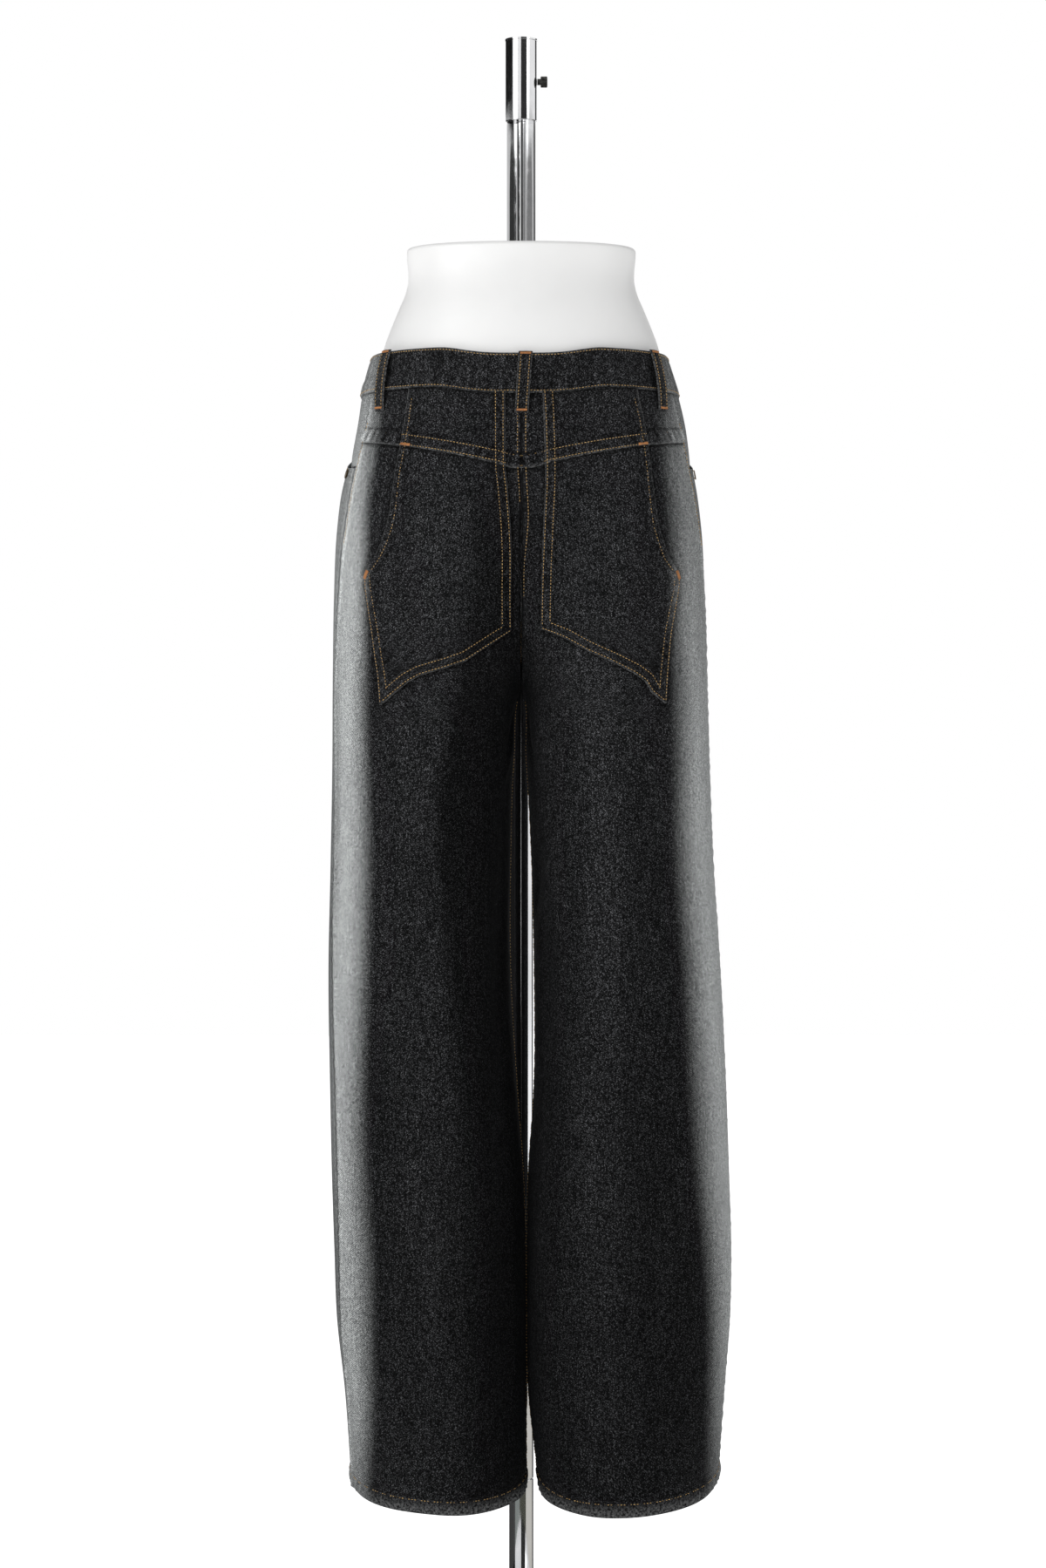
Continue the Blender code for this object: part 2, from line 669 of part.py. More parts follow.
def form_profile():
    """Height, left, right, back and front of the hip form, cleared from the cloth below the waist."""
    rows = [(z, half, half, back, front) for z, half, back, front in FORM_ROWS]
    for z, side, back, front in FORM_CLEARANCE_ROWS:
        left, right = (SECTIONS[name].at(z) for name in ("left", "right"))
        centre = float(surface("left", back_inner("left", z), z)[1])
        rows.append((z, left[0] - side, right[0] - side, centre + back, left[3] - front))
    return Profile(rows)


def hip_form(material):
    profile = form_profile()
    turns = np.linspace(0, 2 * math.pi, FORM_STEPS, endpoint=False)
    rims = np.radians((0, 30, 60, 90))
    rows = [(FORM_TOP - FORM_RIM * (1 - math.cos(a)), FORM_RIM * (1 - math.sin(a))) for a in rims]
    rows += [(z, 0.0) for z in np.linspace(FORM_TOP - 0.016, FORM_BOTTOM + 0.020, 13)]
    rows += [(FORM_BOTTOM + 0.008, 0.004), (FORM_BOTTOM, 0.018)]
    bm = bmesh.new()
    rings = []
    for z, inset in rows:
        left, right, back, front = profile.at(z)
        verts = []
        for turn in turns:
            half = (right if math.cos(turn) > 0 else left) - inset
            depth = (front if math.sin(turn) > 0 else -back) - inset
            across, along = abs(math.cos(turn)) / half, abs(math.sin(turn)) / depth
            radius = (across**FORM_POWER + along**FORM_POWER) ** (-1 / FORM_POWER)
            verts.append(bm.verts.new((radius * math.cos(turn), radius * math.sin(turn), z)))
        rings.append(verts)
    for upper, lower in zip(rings, rings[1:]):
        for i in range(FORM_STEPS):
            j = (i + 1) % FORM_STEPS
            bm.faces.new((upper[i], lower[i], lower[j], upper[j]))
    bm.faces.new(rings[0])
    bm.faces.new(rings[-1][::-1])
    bmesh.ops.recalc_face_normals(bm, faces=bm.faces)
    place("hip_form", bm, material)


def turned(name, profile, material, at=(0, 0, 0), turn=None, segments=32):
    """A turned piece from a list of radius and height, bottom to top, closed at both ends."""
    bm = bmesh.new()
    rings = []
    for radius, z in profile:
        ring_verts = []
        for i in range(segments):
            angle = 2 * math.pi * i / segments
            ring_verts.append(bm.verts.new((radius * math.cos(angle), radius * math.sin(angle), z)))
        rings.append(ring_verts)
    for lower, upper in zip(rings, rings[1:]):
        for i in range(segments):
            j = (i + 1) % segments
            bm.faces.new((lower[i], lower[j], upper[j], upper[i]))
    bm.faces.new(rings[0][::-1])
    bm.faces.new(rings[-1])
    item = place(name, bm, material)
    item.matrix_world = Matrix.Translation(at) @ (turn or Matrix())
    return item


def on_cloth(name, side, angle, z, lift, profile, material):
    """A small turned piece with its axis along the cloth's normal."""
    point = Vector(surface(side, angle, z, lift))
    normal = (Vector(surface(side, angle, z, lift + BUTTON_HEIGHT)) - point).normalized()
    turn = Vector((0, 0, 1)).rotation_difference(normal).to_matrix().to_4x4()
    turned(name, profile, material, at=point, turn=turn, segments=16)


def stand(chrome):
    """The base, pole, arm, sleeve and rod that hold the form."""
    top = BASE_HEIGHT
    turned(
        "base_plate",
        (
            (BASE_RADIUS, 0.0),
            (BASE_RADIUS, top - BASE_BEVEL),
            (BASE_RADIUS - BASE_BEVEL, top),
        ),
        chrome,
        segments=96,
    )
    turned(
        "pole_lower",
        ((POLE_RADIUS, top + SEAM_GAP), (POLE_RADIUS, POLE_JOINT - SEAM_GAP)),
        chrome,
        at=(0, POLE_Y, 0),
    )
    turned(
        "pole_middle",
        ((POLE_RADIUS, POLE_JOINT), (POLE_RADIUS, UPPER_POLE_LOW - SEAM_GAP)),
        chrome,
        at=(0, POLE_Y, 0),
    )
    turned(
        "pole_upper",
        (
            (UPPER_POLE_RADIUS, UPPER_POLE_LOW),
            (UPPER_POLE_RADIUS, UPPER_POLE_TOP - BASE_BEVEL),
            (UPPER_POLE_RADIUS - BASE_BEVEL, UPPER_POLE_TOP),
        ),
        chrome,
        at=(0, POLE_Y, 0),
    )
    turned(
        "sleeve",
        (
            (SLEEVE_RADIUS, SLEEVE_LOW),
            (SLEEVE_RADIUS, SLEEVE_TOP),
            (SLEEVE_RADIUS + SLEEVE_LIP_OUT, SLEEVE_TOP),
            (SLEEVE_RADIUS + SLEEVE_LIP_OUT, SLEEVE_TOP + SLEEVE_LIP),
        ),
        chrome,
    )
    turned(
        "hanging_rod",
        (
            (ROD_RADIUS, FORM_TOP + COLLAR_HEIGHT + 2 * SEAM_GAP),
            (ROD_RADIUS, SLEEVE_LOW - SEAM_GAP),
        ),
        chrome,
        segments=24,
    )
    turned(
        "form_collar",
        (
            (COLLAR_RADIUS, FORM_TOP + SEAM_GAP),
            (COLLAR_RADIUS, FORM_TOP + COLLAR_HEIGHT),
            (COLLAR_RADIUS - BASE_BEVEL, FORM_TOP + COLLAR_HEIGHT + SEAM_GAP),
        ),
        chrome,
        segments=24,
    )
    across = Matrix.Rotation(math.radians(90), 4, "Y")
    turned(
        "thumb_screw",
        (
            (SCREW_NECK_RADIUS, 0.0),
            (SCREW_NECK_RADIUS, SCREW_NECK),
            (SCREW_RADIUS, SCREW_NECK),
            (SCREW_RADIUS, SCREW_NECK + SCREW_HEAD),
        ),
        chrome,
        at=(SLEEVE_RADIUS + SEAM_GAP, 0, SCREW_Z),
        turn=across,
        segments=24,
    )
    near = SLEEVE_RADIUS + SEAM_GAP
    far = POLE_Y - UPPER_POLE_RADIUS - SEAM_GAP
    bm = bmesh.new()
    bmesh.ops.create_cube(bm, size=1.0)
    bmesh.ops.scale(bm, vec=(ARM_WIDTH, far - near, ARM_HEIGHT), verts=bm.verts)
    bmesh.ops.translate(bm, vec=(0, (far + near) / 2, ARM_Z), verts=bm.verts)
    place("arm", bm, chrome)


def small_metal(metal):
    """The waistband's button and the rivets at the pocket mouths' ends."""
    button_angle = float(angle_at("right", BUTTON_X, WAIST_TOP, "front"))
    button_z = float(waist_top("right", button_angle)) - BAND_HEIGHT / 2
    on_cloth(
        "waist_button",
        "right",
        button_angle,
        button_z,
        BAND_OUT + LAP + 0.0006,
        (
            (BUTTON_RADIUS * 0.5, 0.0),
            (BUTTON_RADIUS * 0.5, BUTTON_HEIGHT * 0.4),
            (BUTTON_RADIUS, BUTTON_HEIGHT * 0.4),
            (BUTTON_RADIUS, BUTTON_HEIGHT * 0.8),
            (BUTTON_RADIUS * 0.8, BUTTON_HEIGHT),
        ),
        metal,
    )
    profile = ((RIVET_RADIUS, 0.0), (RIVET_RADIUS, RIVET_HEIGHT * 0.5), (RIVET_RADIUS * 0.6, RIVET_HEIGHT))
    for side in ("left", "right"):
        low_z = MOUTH_LOW - 0.0045
        low_angle = float(seam_angle(side, low_z, 0)) + math.radians(10)
        high_angle = MOUTH_TOP_ANGLE + math.radians(4)
        high_z = float(waist_seam(side, high_angle)) - 0.0080
        on_cloth("rivet_side_" + side, side, low_angle, low_z, 0.0006, profile, metal)
        on_cloth("rivet_front_" + side, side, high_angle, high_z, 0.0006, profile, metal)


def build():
    for item in list(bpy.data.objects):
        bpy.data.objects.remove(item, do_unlink=True)
    garment = bpy.data.collections.new("jeans_on_hip_form")
    bpy.context.scene.collection.children.link(garment)
    denim = principled("denim", (0.025, 0.026, 0.029), 0.9)
    chrome = principled("chrome", (0.62, 0.63, 0.64), 0.12, 1.0)
    enamel = principled("form_white", (0.82, 0.82, 0.81), 0.45)
    metal = principled("dark_brass", (0.20, 0.16, 0.11), 0.35, 1.0)
    for side in ("left", "right"):
        back_panel(side, denim)
        yoke(side, denim)
        front_panel(side, denim)
        facing(side, denim)
        back_pocket(side, denim)
    waistband(denim)
    for name, face, top_x, bottom_x in LOOP_ROWS:
        belt_loop(name, face, top_x, bottom_x, denim)
    hip_form(enamel)
    stand(chrome)
    small_metal(metal)


build()
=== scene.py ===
"""Wide-leg jeans on a hip form, seen from the back, as they hang on a pole stand.

Metres, +Z up. +X is the wearer's right, -Y the garment's back and +Y its front. The cloth is made
from the same sections, seams and rows as the solids, with finer folds, creases and stitching.
"""

import math

import bmesh
import bpy
import numpy as np
from mathutils import Matrix, Vector


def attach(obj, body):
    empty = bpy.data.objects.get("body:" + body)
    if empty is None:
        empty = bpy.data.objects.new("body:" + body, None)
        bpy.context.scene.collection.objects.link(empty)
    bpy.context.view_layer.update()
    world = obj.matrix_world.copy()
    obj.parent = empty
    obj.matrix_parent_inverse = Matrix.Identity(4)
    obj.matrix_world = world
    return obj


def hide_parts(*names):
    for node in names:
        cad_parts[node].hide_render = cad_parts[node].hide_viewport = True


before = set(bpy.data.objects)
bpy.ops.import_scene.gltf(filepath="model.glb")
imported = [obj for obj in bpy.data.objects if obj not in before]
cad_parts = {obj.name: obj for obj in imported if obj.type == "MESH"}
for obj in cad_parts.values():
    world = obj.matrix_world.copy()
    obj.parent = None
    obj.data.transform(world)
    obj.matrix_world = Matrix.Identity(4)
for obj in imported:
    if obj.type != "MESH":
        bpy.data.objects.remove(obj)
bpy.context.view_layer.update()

# Cloth
SHELL = 0.0012  # thickness of one layer
SEAM_GAP = 0.0003
SEAM_CLOSE = 0.00004  # what is left between two panels, whose edges roll in
BAND_OUT = 0.0010  # how far the waistband's face stands proud of the panels
BAND_SHELL = 0.0024
BAND_HEIGHT = 0.0370
WAIST_TOP = 1.2215
BACK_DIP = 0.0063
FRONT_DIP = 0.0180
LAP = 0.0034
CROTCH = 0.9094
HEM_TURN = 0.0130
HEM_LEAN = math.radians(15)
YOKE_CENTRE = 1.1090
YOKE_RISE = 0.0300
YOKE_REACH = 0.155
YOKE_CURVE = 0.8
YOKE_ROUND = 0.010
FELLED_BAND = 0.0132  # height of the yoke's felled edge
FELLED_ROWS = (0.0020, 0.0112)  # heights of its two rows of stitches
HIP_REACH = 0.125  # the half's width that turns an angle into a run along the yoke
BAND_REACH = 0.12  # the same along the waistband
MOUTH_LOW = 1.1135
MOUTH_TOP_ANGLE = math.radians(52)
FACING_DROP = 0.0028
FACING_LAP = math.radians(6)
FACING_INSET = math.radians(0.7)
FACING_CORNER = 0.0120
POCKET_BED = 0.0005  # height of a pocket's hidden face over the panel
POCKET_FACE = 0.0021  # height of its outer face

# The sections of each half, from the waist to the hem. Above the crotch a section is cut at the
# centre plane. Columns: z, outer, inner, back, front, power, outseam's direction in degrees.
SECTION_ROWS = {
    "left": (
        (1.2400, 0.1360, -0.1360, -0.0960, 0.0950, 2.20, -17),
        (1.2210, 0.1402, -0.1402, -0.0985, 0.0980, 2.20, -17),
        (1.1882, 0.1490, -0.1475, -0.1030, 0.1030, 2.20, -17),
        (1.1554, 0.1545, -0.1370, -0.1085, 0.1080, 2.22, -19),
        (1.1226, 0.1615, -0.1190, -0.1140, 0.1120, 2.25, -21),
        (1.0898, 0.1690, -0.1010, -0.1190, 0.1140, 2.28, -24),
        (1.0570, 0.1728, -0.0800, -0.1230, 0.1150, 2.30, -26),
        (0.9914, 0.1755, -0.0400, -0.1265, 0.1130, 2.30, -27),
        (0.9350, 0.1764, -0.0125, -0.1235, 0.1120, 2.30, -27),
        (0.9094, 0.1767, 0.0004, -0.1215, 0.1120, 2.30, -27),
        (0.8438, 0.1772, 0.0072, -0.1165, 0.1130, 2.25, -28),
        (0.7454, 0.1790, 0.0104, -0.1110, 0.1110, 2.20, -31),
        (0.6470, 0.1810, 0.0104, -0.1070, 0.1080, 2.20, -34),
        (0.5322, 0.1796, 0.0040, -0.1020, 0.1050, 2.20, -34),
        (0.4502, 0.1779, -0.0018, -0.0990, 0.1030, 2.20, -33),
        (0.3846, 0.1757, -0.0038, -0.0970, 0.1010, 2.20, -31),
        (0.3190, 0.1732, -0.0044, -0.0950, 0.0990, 2.20, -29),
        (0.2534, 0.1660, -0.0045, -0.0920, 0.0960, 2.18, -25),
        (0.1673, 0.1599, -0.0048, -0.0880, 0.0900, 2.15, -16),
        (0.1300, 0.1575, -0.0048, -0.0865, 0.0880, 2.15, -15),
    ),
    "right": (
        (1.2400, 0.1330, -0.1330, -0.0960, 0.0950, 2.20, -14),
        (1.2210, 0.1369, -0.1369, -0.0985, 0.0980, 2.20, -14),
        (1.1882, 0.1466, -0.1451, -0.1030, 0.1030, 2.20, -14),
        (1.1554, 0.1545, -0.1370, -0.1085, 0.1080, 2.22, -15),
        (1.1226, 0.1595, -0.1170, -0.1140, 0.1120, 2.25, -16),
        (1.0898, 0.1652, -0.0980, -0.1190, 0.1140, 2.28, -17),
        (1.0570, 0.1690, -0.0780, -0.1230, 0.1150, 2.30, -17),
        (0.9914, 0.1716, -0.0390, -0.1265, 0.1130, 2.30, -12),
        (0.9350, 0.1732, -0.0125, -0.1235, 0.1120, 2.30, -4),
        (0.9094, 0.1740, 0.0004, -0.1215, 0.1120, 2.30, -1),
        (0.8438, 0.1763, 0.0050, -0.1165, 0.1130, 2.25, 4),
        (0.7454, 0.1804, 0.0100, -0.1110, 0.1110, 2.20, 6),
        (0.6470, 0.1870, 0.0124, -0.1070, 0.1080, 2.20, 8),
        (0.5322, 0.1927, 0.0120, -0.1020, 0.1050, 2.20, 8),
        (0.4502, 0.1955, 0.0066, -0.0990, 0.1030, 2.20, 8),
        (0.3846, 0.1974, 0.0054, -0.0970, 0.1010, 2.20, 7),
        (0.3190, 0.1962, 0.0054, -0.0950, 0.0990, 2.20, 6),
        (0.2534, 0.1911, 0.0066, -0.0920, 0.0960, 2.18, 5),
        (0.1673, 0.1850, 0.0155, -0.0880, 0.0900, 2.15, 5),
        (0.1300, 0.1830, 0.0175, -0.0865, 0.0880, 2.15, 5),
    ),
}

# The largest folds, which the solids have too: ridges where depth is positive, else troughs.
# Columns: side, angle, top, bottom, width and drift in degrees, depth.
FOLD_ROWS = (
    ("left", -118, 0.900, 0.180, 16, 10, 0.0040),
    ("left", -150, 0.880, 0.240, 12, 14, -0.0034),
    ("left", -72, 0.860, 0.160, 15, -8, -0.0036),
    ("left", -38, 0.820, 0.200, 13, 6, 0.0024),
    ("left", 40, 0.860, 0.170, 16, -8, -0.0036),
    ("left", 84, 0.900, 0.160, 18, 8, 0.0040),
    ("left", 135, 0.880, 0.220, 14, -12, -0.0032),
    ("right", -122, 0.905, 0.200, 16, -12, 0.0036),
    ("right", -84, 0.840, 0.160, 15, -12, -0.0038),
    ("right", -48, 0.880, 0.200, 14, 8, 0.0026),
    ("right", 46, 0.840, 0.180, 15, 10, -0.0034),
    ("right", 88, 0.900, 0.160, 18, -8, 0.0040),
    ("right", 132, 0.860, 0.230, 14, 10, -0.0034),
    ("right", -150, 0.800, 0.560, 14, 16, -0.0024),
)

# Creases, each along a line on the cloth from one direction in degrees and height to another.
# Columns: side, first angle, first z, last angle, last z, width, depth, the last two in millimetres.
CHART_RADIUS = 0.1
MILLIMETRE = 0.001
CREASE_ROWS = (
    ("left", -66, 0.884, -128, 0.858, 9, -1.5),
    ("left", -92, 0.862, -160, 0.846, 8, 1.3),
    ("left", -176, 0.902, -140, 0.828, 7, -1.6),
    ("left", -170, 0.872, -132, 0.792, 8, 1.4),
    ("left", -62, 0.640, -122, 0.604, 10, -1.1),
    ("left", -84, 0.596, -150, 0.572, 9, 1.2),
    ("left", -118, 0.560, -168, 0.536, 8, -1.0),
    ("left", -54, 0.470, -104, 0.436, 10, 0.9),
    ("left", -40, 0.330, -96, 0.290, 9, -1.0),
    ("left", -80, 0.268, -140, 0.252, 9, 0.9),
    ("left", -30, 1.060, -22, 0.980, 7, 0.8),
    ("left", -44, 0.760, -30, 0.660, 7, 0.8),
    ("right", -60, 0.878, -124, 0.862, 9, -1.4),
    ("right", -96, 0.852, -158, 0.868, 8, 1.2),
    ("right", -178, 0.900, -142, 0.826, 7, -1.6),
    ("right", -136, 0.750, -162, 0.664, 7, 1.4),
    ("right", -148, 0.752, -168, 0.690, 6, -1.3),
    ("right", -126, 0.700, -150, 0.628, 7, -1.1),
    ("right", -60, 0.620, -118, 0.584, 10, 1.1),
    ("right", -86, 0.566, -152, 0.552, 9, -1.1),
    ("right", -34, 0.480, -88, 0.446, 9, 0.9),
    ("right", -50, 0.340, -110, 0.312, 9, -1.0),
    ("right", -20, 0.250, -78, 0.232, 9, 0.9),
    ("left", 176, 0.900, 120, 0.948, 9, 1.6),
    ("left", 172, 0.884, 112, 0.908, 8, -1.5),
    ("left", 168, 0.862, 104, 0.872, 9, 1.2),
    ("left", 60, 1.010, 108, 0.984, 10, -1.1),
    ("left", 50, 0.640, 112, 0.612, 10, 1.2),
    ("left", 80, 0.590, 146, 0.568, 9, -1.1),
    ("left", 40, 0.420, 96, 0.392, 10, 0.9),
    ("left", 64, 0.280, 124, 0.262, 9, -1.0),
    ("right", 176, 0.902, 122, 0.944, 9, 1.5),
    ("right", 172, 0.880, 110, 0.902, 8, -1.5),
    ("right", 166, 0.858, 100, 0.866, 9, 1.2),
    ("right", 58, 1.004, 106, 0.982, 10, -1.0),
    ("right", 46, 0.630, 110, 0.606, 10, 1.2),
    ("right", 84, 0.580, 148, 0.560, 9, -1.1),
    ("right", 42, 0.400, 98, 0.372, 10, 0.9),
    ("right", 60, 0.290, 122, 0.268, 9, -1.0),
    ("right", 20, 0.760, 4, 0.680, 7, 0.7),
)

# The pockets' edges, as distances from the centre plane. Columns: z, inner, outer.
POCKET_TOP_ROWS = {
    "left": ((1.1790, 0.0145, 0.1030), (1.1560, 0.0145, 0.1060), (1.1300, 0.0145, 0.1105)),
    "right": ((1.1790, 0.0193, 0.1060), (1.1560, 0.0205, 0.1115), (1.1300, 0.0214, 0.1160)),
}
POCKET_ROWS = {
    "left": (
        (1.1300, 0.0145, 0.1105),
        (1.1076, 0.0143, 0.1150),
        (1.0925, 0.0125, 0.1169),
        (1.0719, 0.0108, 0.1193),
        (1.0568, 0.0098, 0.1224),
        (1.0417, 0.0092, 0.1275),
        (1.0286, 0.0090, 0.1336),
        (1.0150, 0.0092, 0.1425),
        (0.9985, 0.0096, 0.1415),
        (0.9800, 0.0098, 0.1388),
        (0.9615, 0.0099, 0.1360),
        (0.9562, 0.0176, 0.1353),
        (0.9510, 0.0254, 0.1347),
        (0.9420, 0.0385, 0.1336),
        (0.9340, 0.0503, 0.1325),
        (0.9272, 0.0692, 0.1314),
        (0.9205, 0.0915, 0.1305),
        (0.9145, 0.1022, 0.1300),
        (0.9057, 0.1129, 0.1293),
        (0.8938, 0.1268, 0.1286),
    ),
    "right": (
        (1.1300, 0.0214, 0.1160),
        (1.1076, 0.0218, 0.1188),
        (1.0925, 0.0216, 0.1204),
        (1.0719, 0.0207, 0.1228),
        (1.0568, 0.0200, 0.1252),
        (1.0417, 0.0195, 0.1298),
        (1.0286, 0.0190, 0.1345),
        (1.0150, 0.0187, 0.1440),
        (0.9985, 0.0185, 0.1428),
        (0.9800, 0.0184, 0.1395),
        (0.9630, 0.0185, 0.1366),
        (0.9590, 0.0290, 0.1360),
        (0.9542, 0.0405, 0.1355),
        (0.9480, 0.0510, 0.1349),
        (0.9423, 0.0610, 0.1344),
        (0.9331, 0.0815, 0.1337),
        (0.9224, 0.1021, 0.1329),
        (0.9153, 0.1116, 0.1325),
        (0.9057, 0.1171, 0.1320),
        (0.8954, 0.1297, 0.1315),
    ),
}
POCKET_CORNER = 10  # the row of the inner lower corner
POCKET_HIP = 7  # the row of the outer corner
POCKET_PITCH = 0.002

# Columns: name, face, top x, bottom x.
LOOP_ROWS = (
    ("belt_loop_centre_back", "back", 0.0040, 0.0002),
    ("belt_loop_back_left", "back", -0.1225, -0.1300),
    ("belt_loop_back_right", "back", 0.1208, 0.1300),
    ("belt_loop_front_left", "front", -0.0620, -0.0620),
    ("belt_loop_front_right", "front", 0.0620, 0.0620),
)
LOOP_WIDTH = 0.0128
LOOP_SHELL = 0.0017
LOOP_BELOW = 0.0200
LOOP_BOW = 0.0034

HEM_ROWS = {"left": (0.1718, 0.0200), "right": (0.1769, 0.0280)}  # columns: front z, drop

# The bleached sides, by the distance in from the outer silhouette.
# Columns: z, distance at half strength, softness, strength, share of it at the silhouette.
FADE_ROWS = {
    "left": (
        (1.230, 0.0120, 0.012, 0.50, 0.86),
        (1.190, 0.0150, 0.012, 0.62, 0.84),
        (1.155, 0.0190, 0.012, 0.84, 0.80),
        (1.060, 0.0275, 0.010, 1.00, 0.74),
        (0.980, 0.0285, 0.011, 1.00, 0.72),
        (0.820, 0.0305, 0.014, 0.95, 0.50),
        (0.660, 0.0320, 0.015, 0.90, 0.42),
        (0.500, 0.0265, 0.016, 0.77, 0.56),
        (0.345, 0.0285, 0.017, 0.70, 0.50),
        (0.225, 0.0200, 0.014, 0.62, 0.84),
        (0.150, 0.0120, 0.012, 0.42, 0.90),
    ),
    "right": (
        (1.230, 0.0100, 0.012, 0.30, 0.86),
        (1.190, 0.0140, 0.012, 0.36, 0.86),
        (1.155, 0.0200, 0.013, 0.46, 0.86),
        (1.060, 0.0255, 0.014, 0.56, 0.86),
        (0.980, 0.0265, 0.014, 0.62, 0.86),
        (0.820, 0.0270, 0.016, 0.82, 0.86),
        (0.660, 0.0260, 0.018, 0.86, 0.86),
        (0.500, 0.0235, 0.019, 0.86, 0.90),
        (0.345, 0.0150, 0.017, 0.80, 0.90),
        (0.225, 0.0090, 0.014, 0.56, 0.86),
        (0.150, 0.0060, 0.012, 0.30, 0.86),
    ),
}

# Painted shade inside a line at a distance from the centre plane, partly the darker wash there, and a
# painted highlight streak beside it.
# Columns: z, level, line, softness, darkness inside it, streak's middle, half width, darkness beside.
WASH_AND_PAINTED_LIGHT_ROWS = {
    "left": (
        (1.230, 0.82, 0.030, 0.015, 0.00, 0.080, 0.060, 0.08),
        (1.120, 0.80, 0.034, 0.015, 0.18, 0.080, 0.060, 0.10),
        (1.060, 0.80, 0.042, 0.012, 0.45, 0.082, 0.055, 0.10),
        (0.980, 0.80, 0.050, 0.012, 0.56, 0.085, 0.050, 0.12),
        (0.900, 0.74, 0.062, 0.010, 0.62, 0.088, 0.050, 0.12),
        (0.820, 0.66, 0.074, 0.007, 0.62, 0.092, 0.050, 0.12),
        (0.660, 0.62, 0.069, 0.012, 0.62, 0.090, 0.050, 0.12),
        (0.500, 0.55, 0.054, 0.020, 0.58, 0.085, 0.050, 0.14),
        (0.345, 0.52, 0.056, 0.026, 0.58, 0.088, 0.050, 0.16),
        (0.225, 0.54, 0.056, 0.028, 0.58, 0.090, 0.050, 0.18),
        (0.130, 0.54, 0.050, 0.030, 0.50, 0.090, 0.050, 0.20),
    ),
    "right": (
        (1.230, 0.80, 0.020, 0.010, 0.00, 0.070, 0.060, 0.08),
        (1.120, 0.80, 0.014, 0.008, 0.20, 0.070, 0.055, 0.12),
        (1.060, 0.80, 0.012, 0.006, 0.40, 0.062, 0.045, 0.16),
        (0.980, 0.80, 0.012, 0.008, 0.44, 0.062, 0.036, 0.20),
        (0.900, 0.90, 0.018, 0.012, 0.38, 0.070, 0.026, 0.38),
        (0.820, 0.92, 0.020, 0.016, 0.34, 0.074, 0.022, 0.44),
        (0.660, 0.80, 0.022, 0.018, 0.22, 0.074, 0.024, 0.46),
        (0.500, 0.63, 0.022, 0.018, 0.10, 0.072, 0.026, 0.46),
        (0.345, 0.53, 0.020, 0.018, 0.04, 0.068, 0.028, 0.40),
        (0.225, 0.45, 0.020, 0.018, 0.00, 0.072, 0.026, 0.30),
        (0.130, 0.48, 0.020, 0.018, 0.00, 0.072, 0.026, 0.24),
    ),
}

# Shared rows of the leg panels. Columns: inner z, outer z.
ROW_TABLE = (
    (1.0850, 1.0850),
    (1.0600, 1.0570),
    (1.0350, 1.0290),
    (1.0100, 1.0010),
    (0.9850, 0.9740),
    (0.9620, 0.9480),
    (0.9420, 0.9230),
    (0.9270, 0.9010),
    (0.9170, 0.8820),
    (0.9115, 0.8660),
    (CROTCH, 0.8520),
    (0.8900, 0.8360),
    (0.8620, 0.8160),
    (0.8260, 0.7900),
    (0.7800, 0.7560),
    (0.7280, 0.7150),
    (0.6700, 0.6650),
    (0.5500, 0.5500),
    (0.4300, 0.4300),
    (0.3100, 0.3100),
    (0.2120, 0.2120),
)
FRONT_TOP_SHARES = (1.0, 0.78, 0.56, 0.36, 0.20, 0.08, 0.02, 0.0)
FRONT_TOP_LOW = 1.1000
PANEL_COLUMNS = 112
PANEL_PITCH = 0.0036
EDGE_DENSE = 0.78
YOKE_COLUMNS = 200
YOKE_PITCH = 0.0014
HEM_COLUMNS = 190
HEM_PITCH = 0.0013
BAND_COLUMNS = 150
NORMAL_STEP = 0.0005
SIGN = {"left": -1.0, "right": 1.0}

# Stitching
STITCH_PITCH = 0.0030
STITCH_LENGTH = 0.0018
THREAD_RADIUS = 0.00032
THREAD_LIFT = 0.0003  # height of a row's line over the cloth
TACK_RADIUS = 0.00030
STITCH_SIDES = 5

# Hip form above the waistband, and below it its clearance from the cloth's face.
FORM_TOP = 1.3225
FORM_RIM = 0.0040
# Columns: z, half width, back, front.
FORM_ROWS = (
    (FORM_TOP, 0.1078, -0.0640, 0.0640),
    (1.3128, 0.1074, -0.0655, 0.0655),
    (1.3014, 0.1063, -0.0680, 0.0680),
    (1.2899, 0.1064, -0.0715, 0.0715),
    (1.2784, 0.1093, -0.0755, 0.0755),
    (1.2669, 0.1142, -0.0798, 0.0796),
    (1.2554, 0.1190, -0.0838, 0.0832),
    (1.2440, 0.1236, -0.0872, 0.0863),
    (1.2325, 0.1278, -0.0902, 0.0890),
    (1.2210, 0.1310, -0.0928, 0.0908),
)
# Columns: z, side, back, front.
FORM_CLEARANCE_ROWS = (
    (1.1960, 0.0056, 0.0030, 0.0090),
    (1.1700, 0.0048, 0.0020, 0.0098),
    (1.1400, 0.0050, 0.0020, 0.0098),
    (1.1100, 0.0064, 0.0026, 0.0104),
    (1.0800, 0.0060, 0.0060, 0.0110),
    (1.0400, 0.0100, 0.0140, 0.0120),
    (1.0000, 0.0220, 0.0300, 0.0220),
    (0.9780, 0.0340, 0.0420, 0.0330),
)
FORM_POWER = 2.15
FORM_BOTTOM = 0.9740

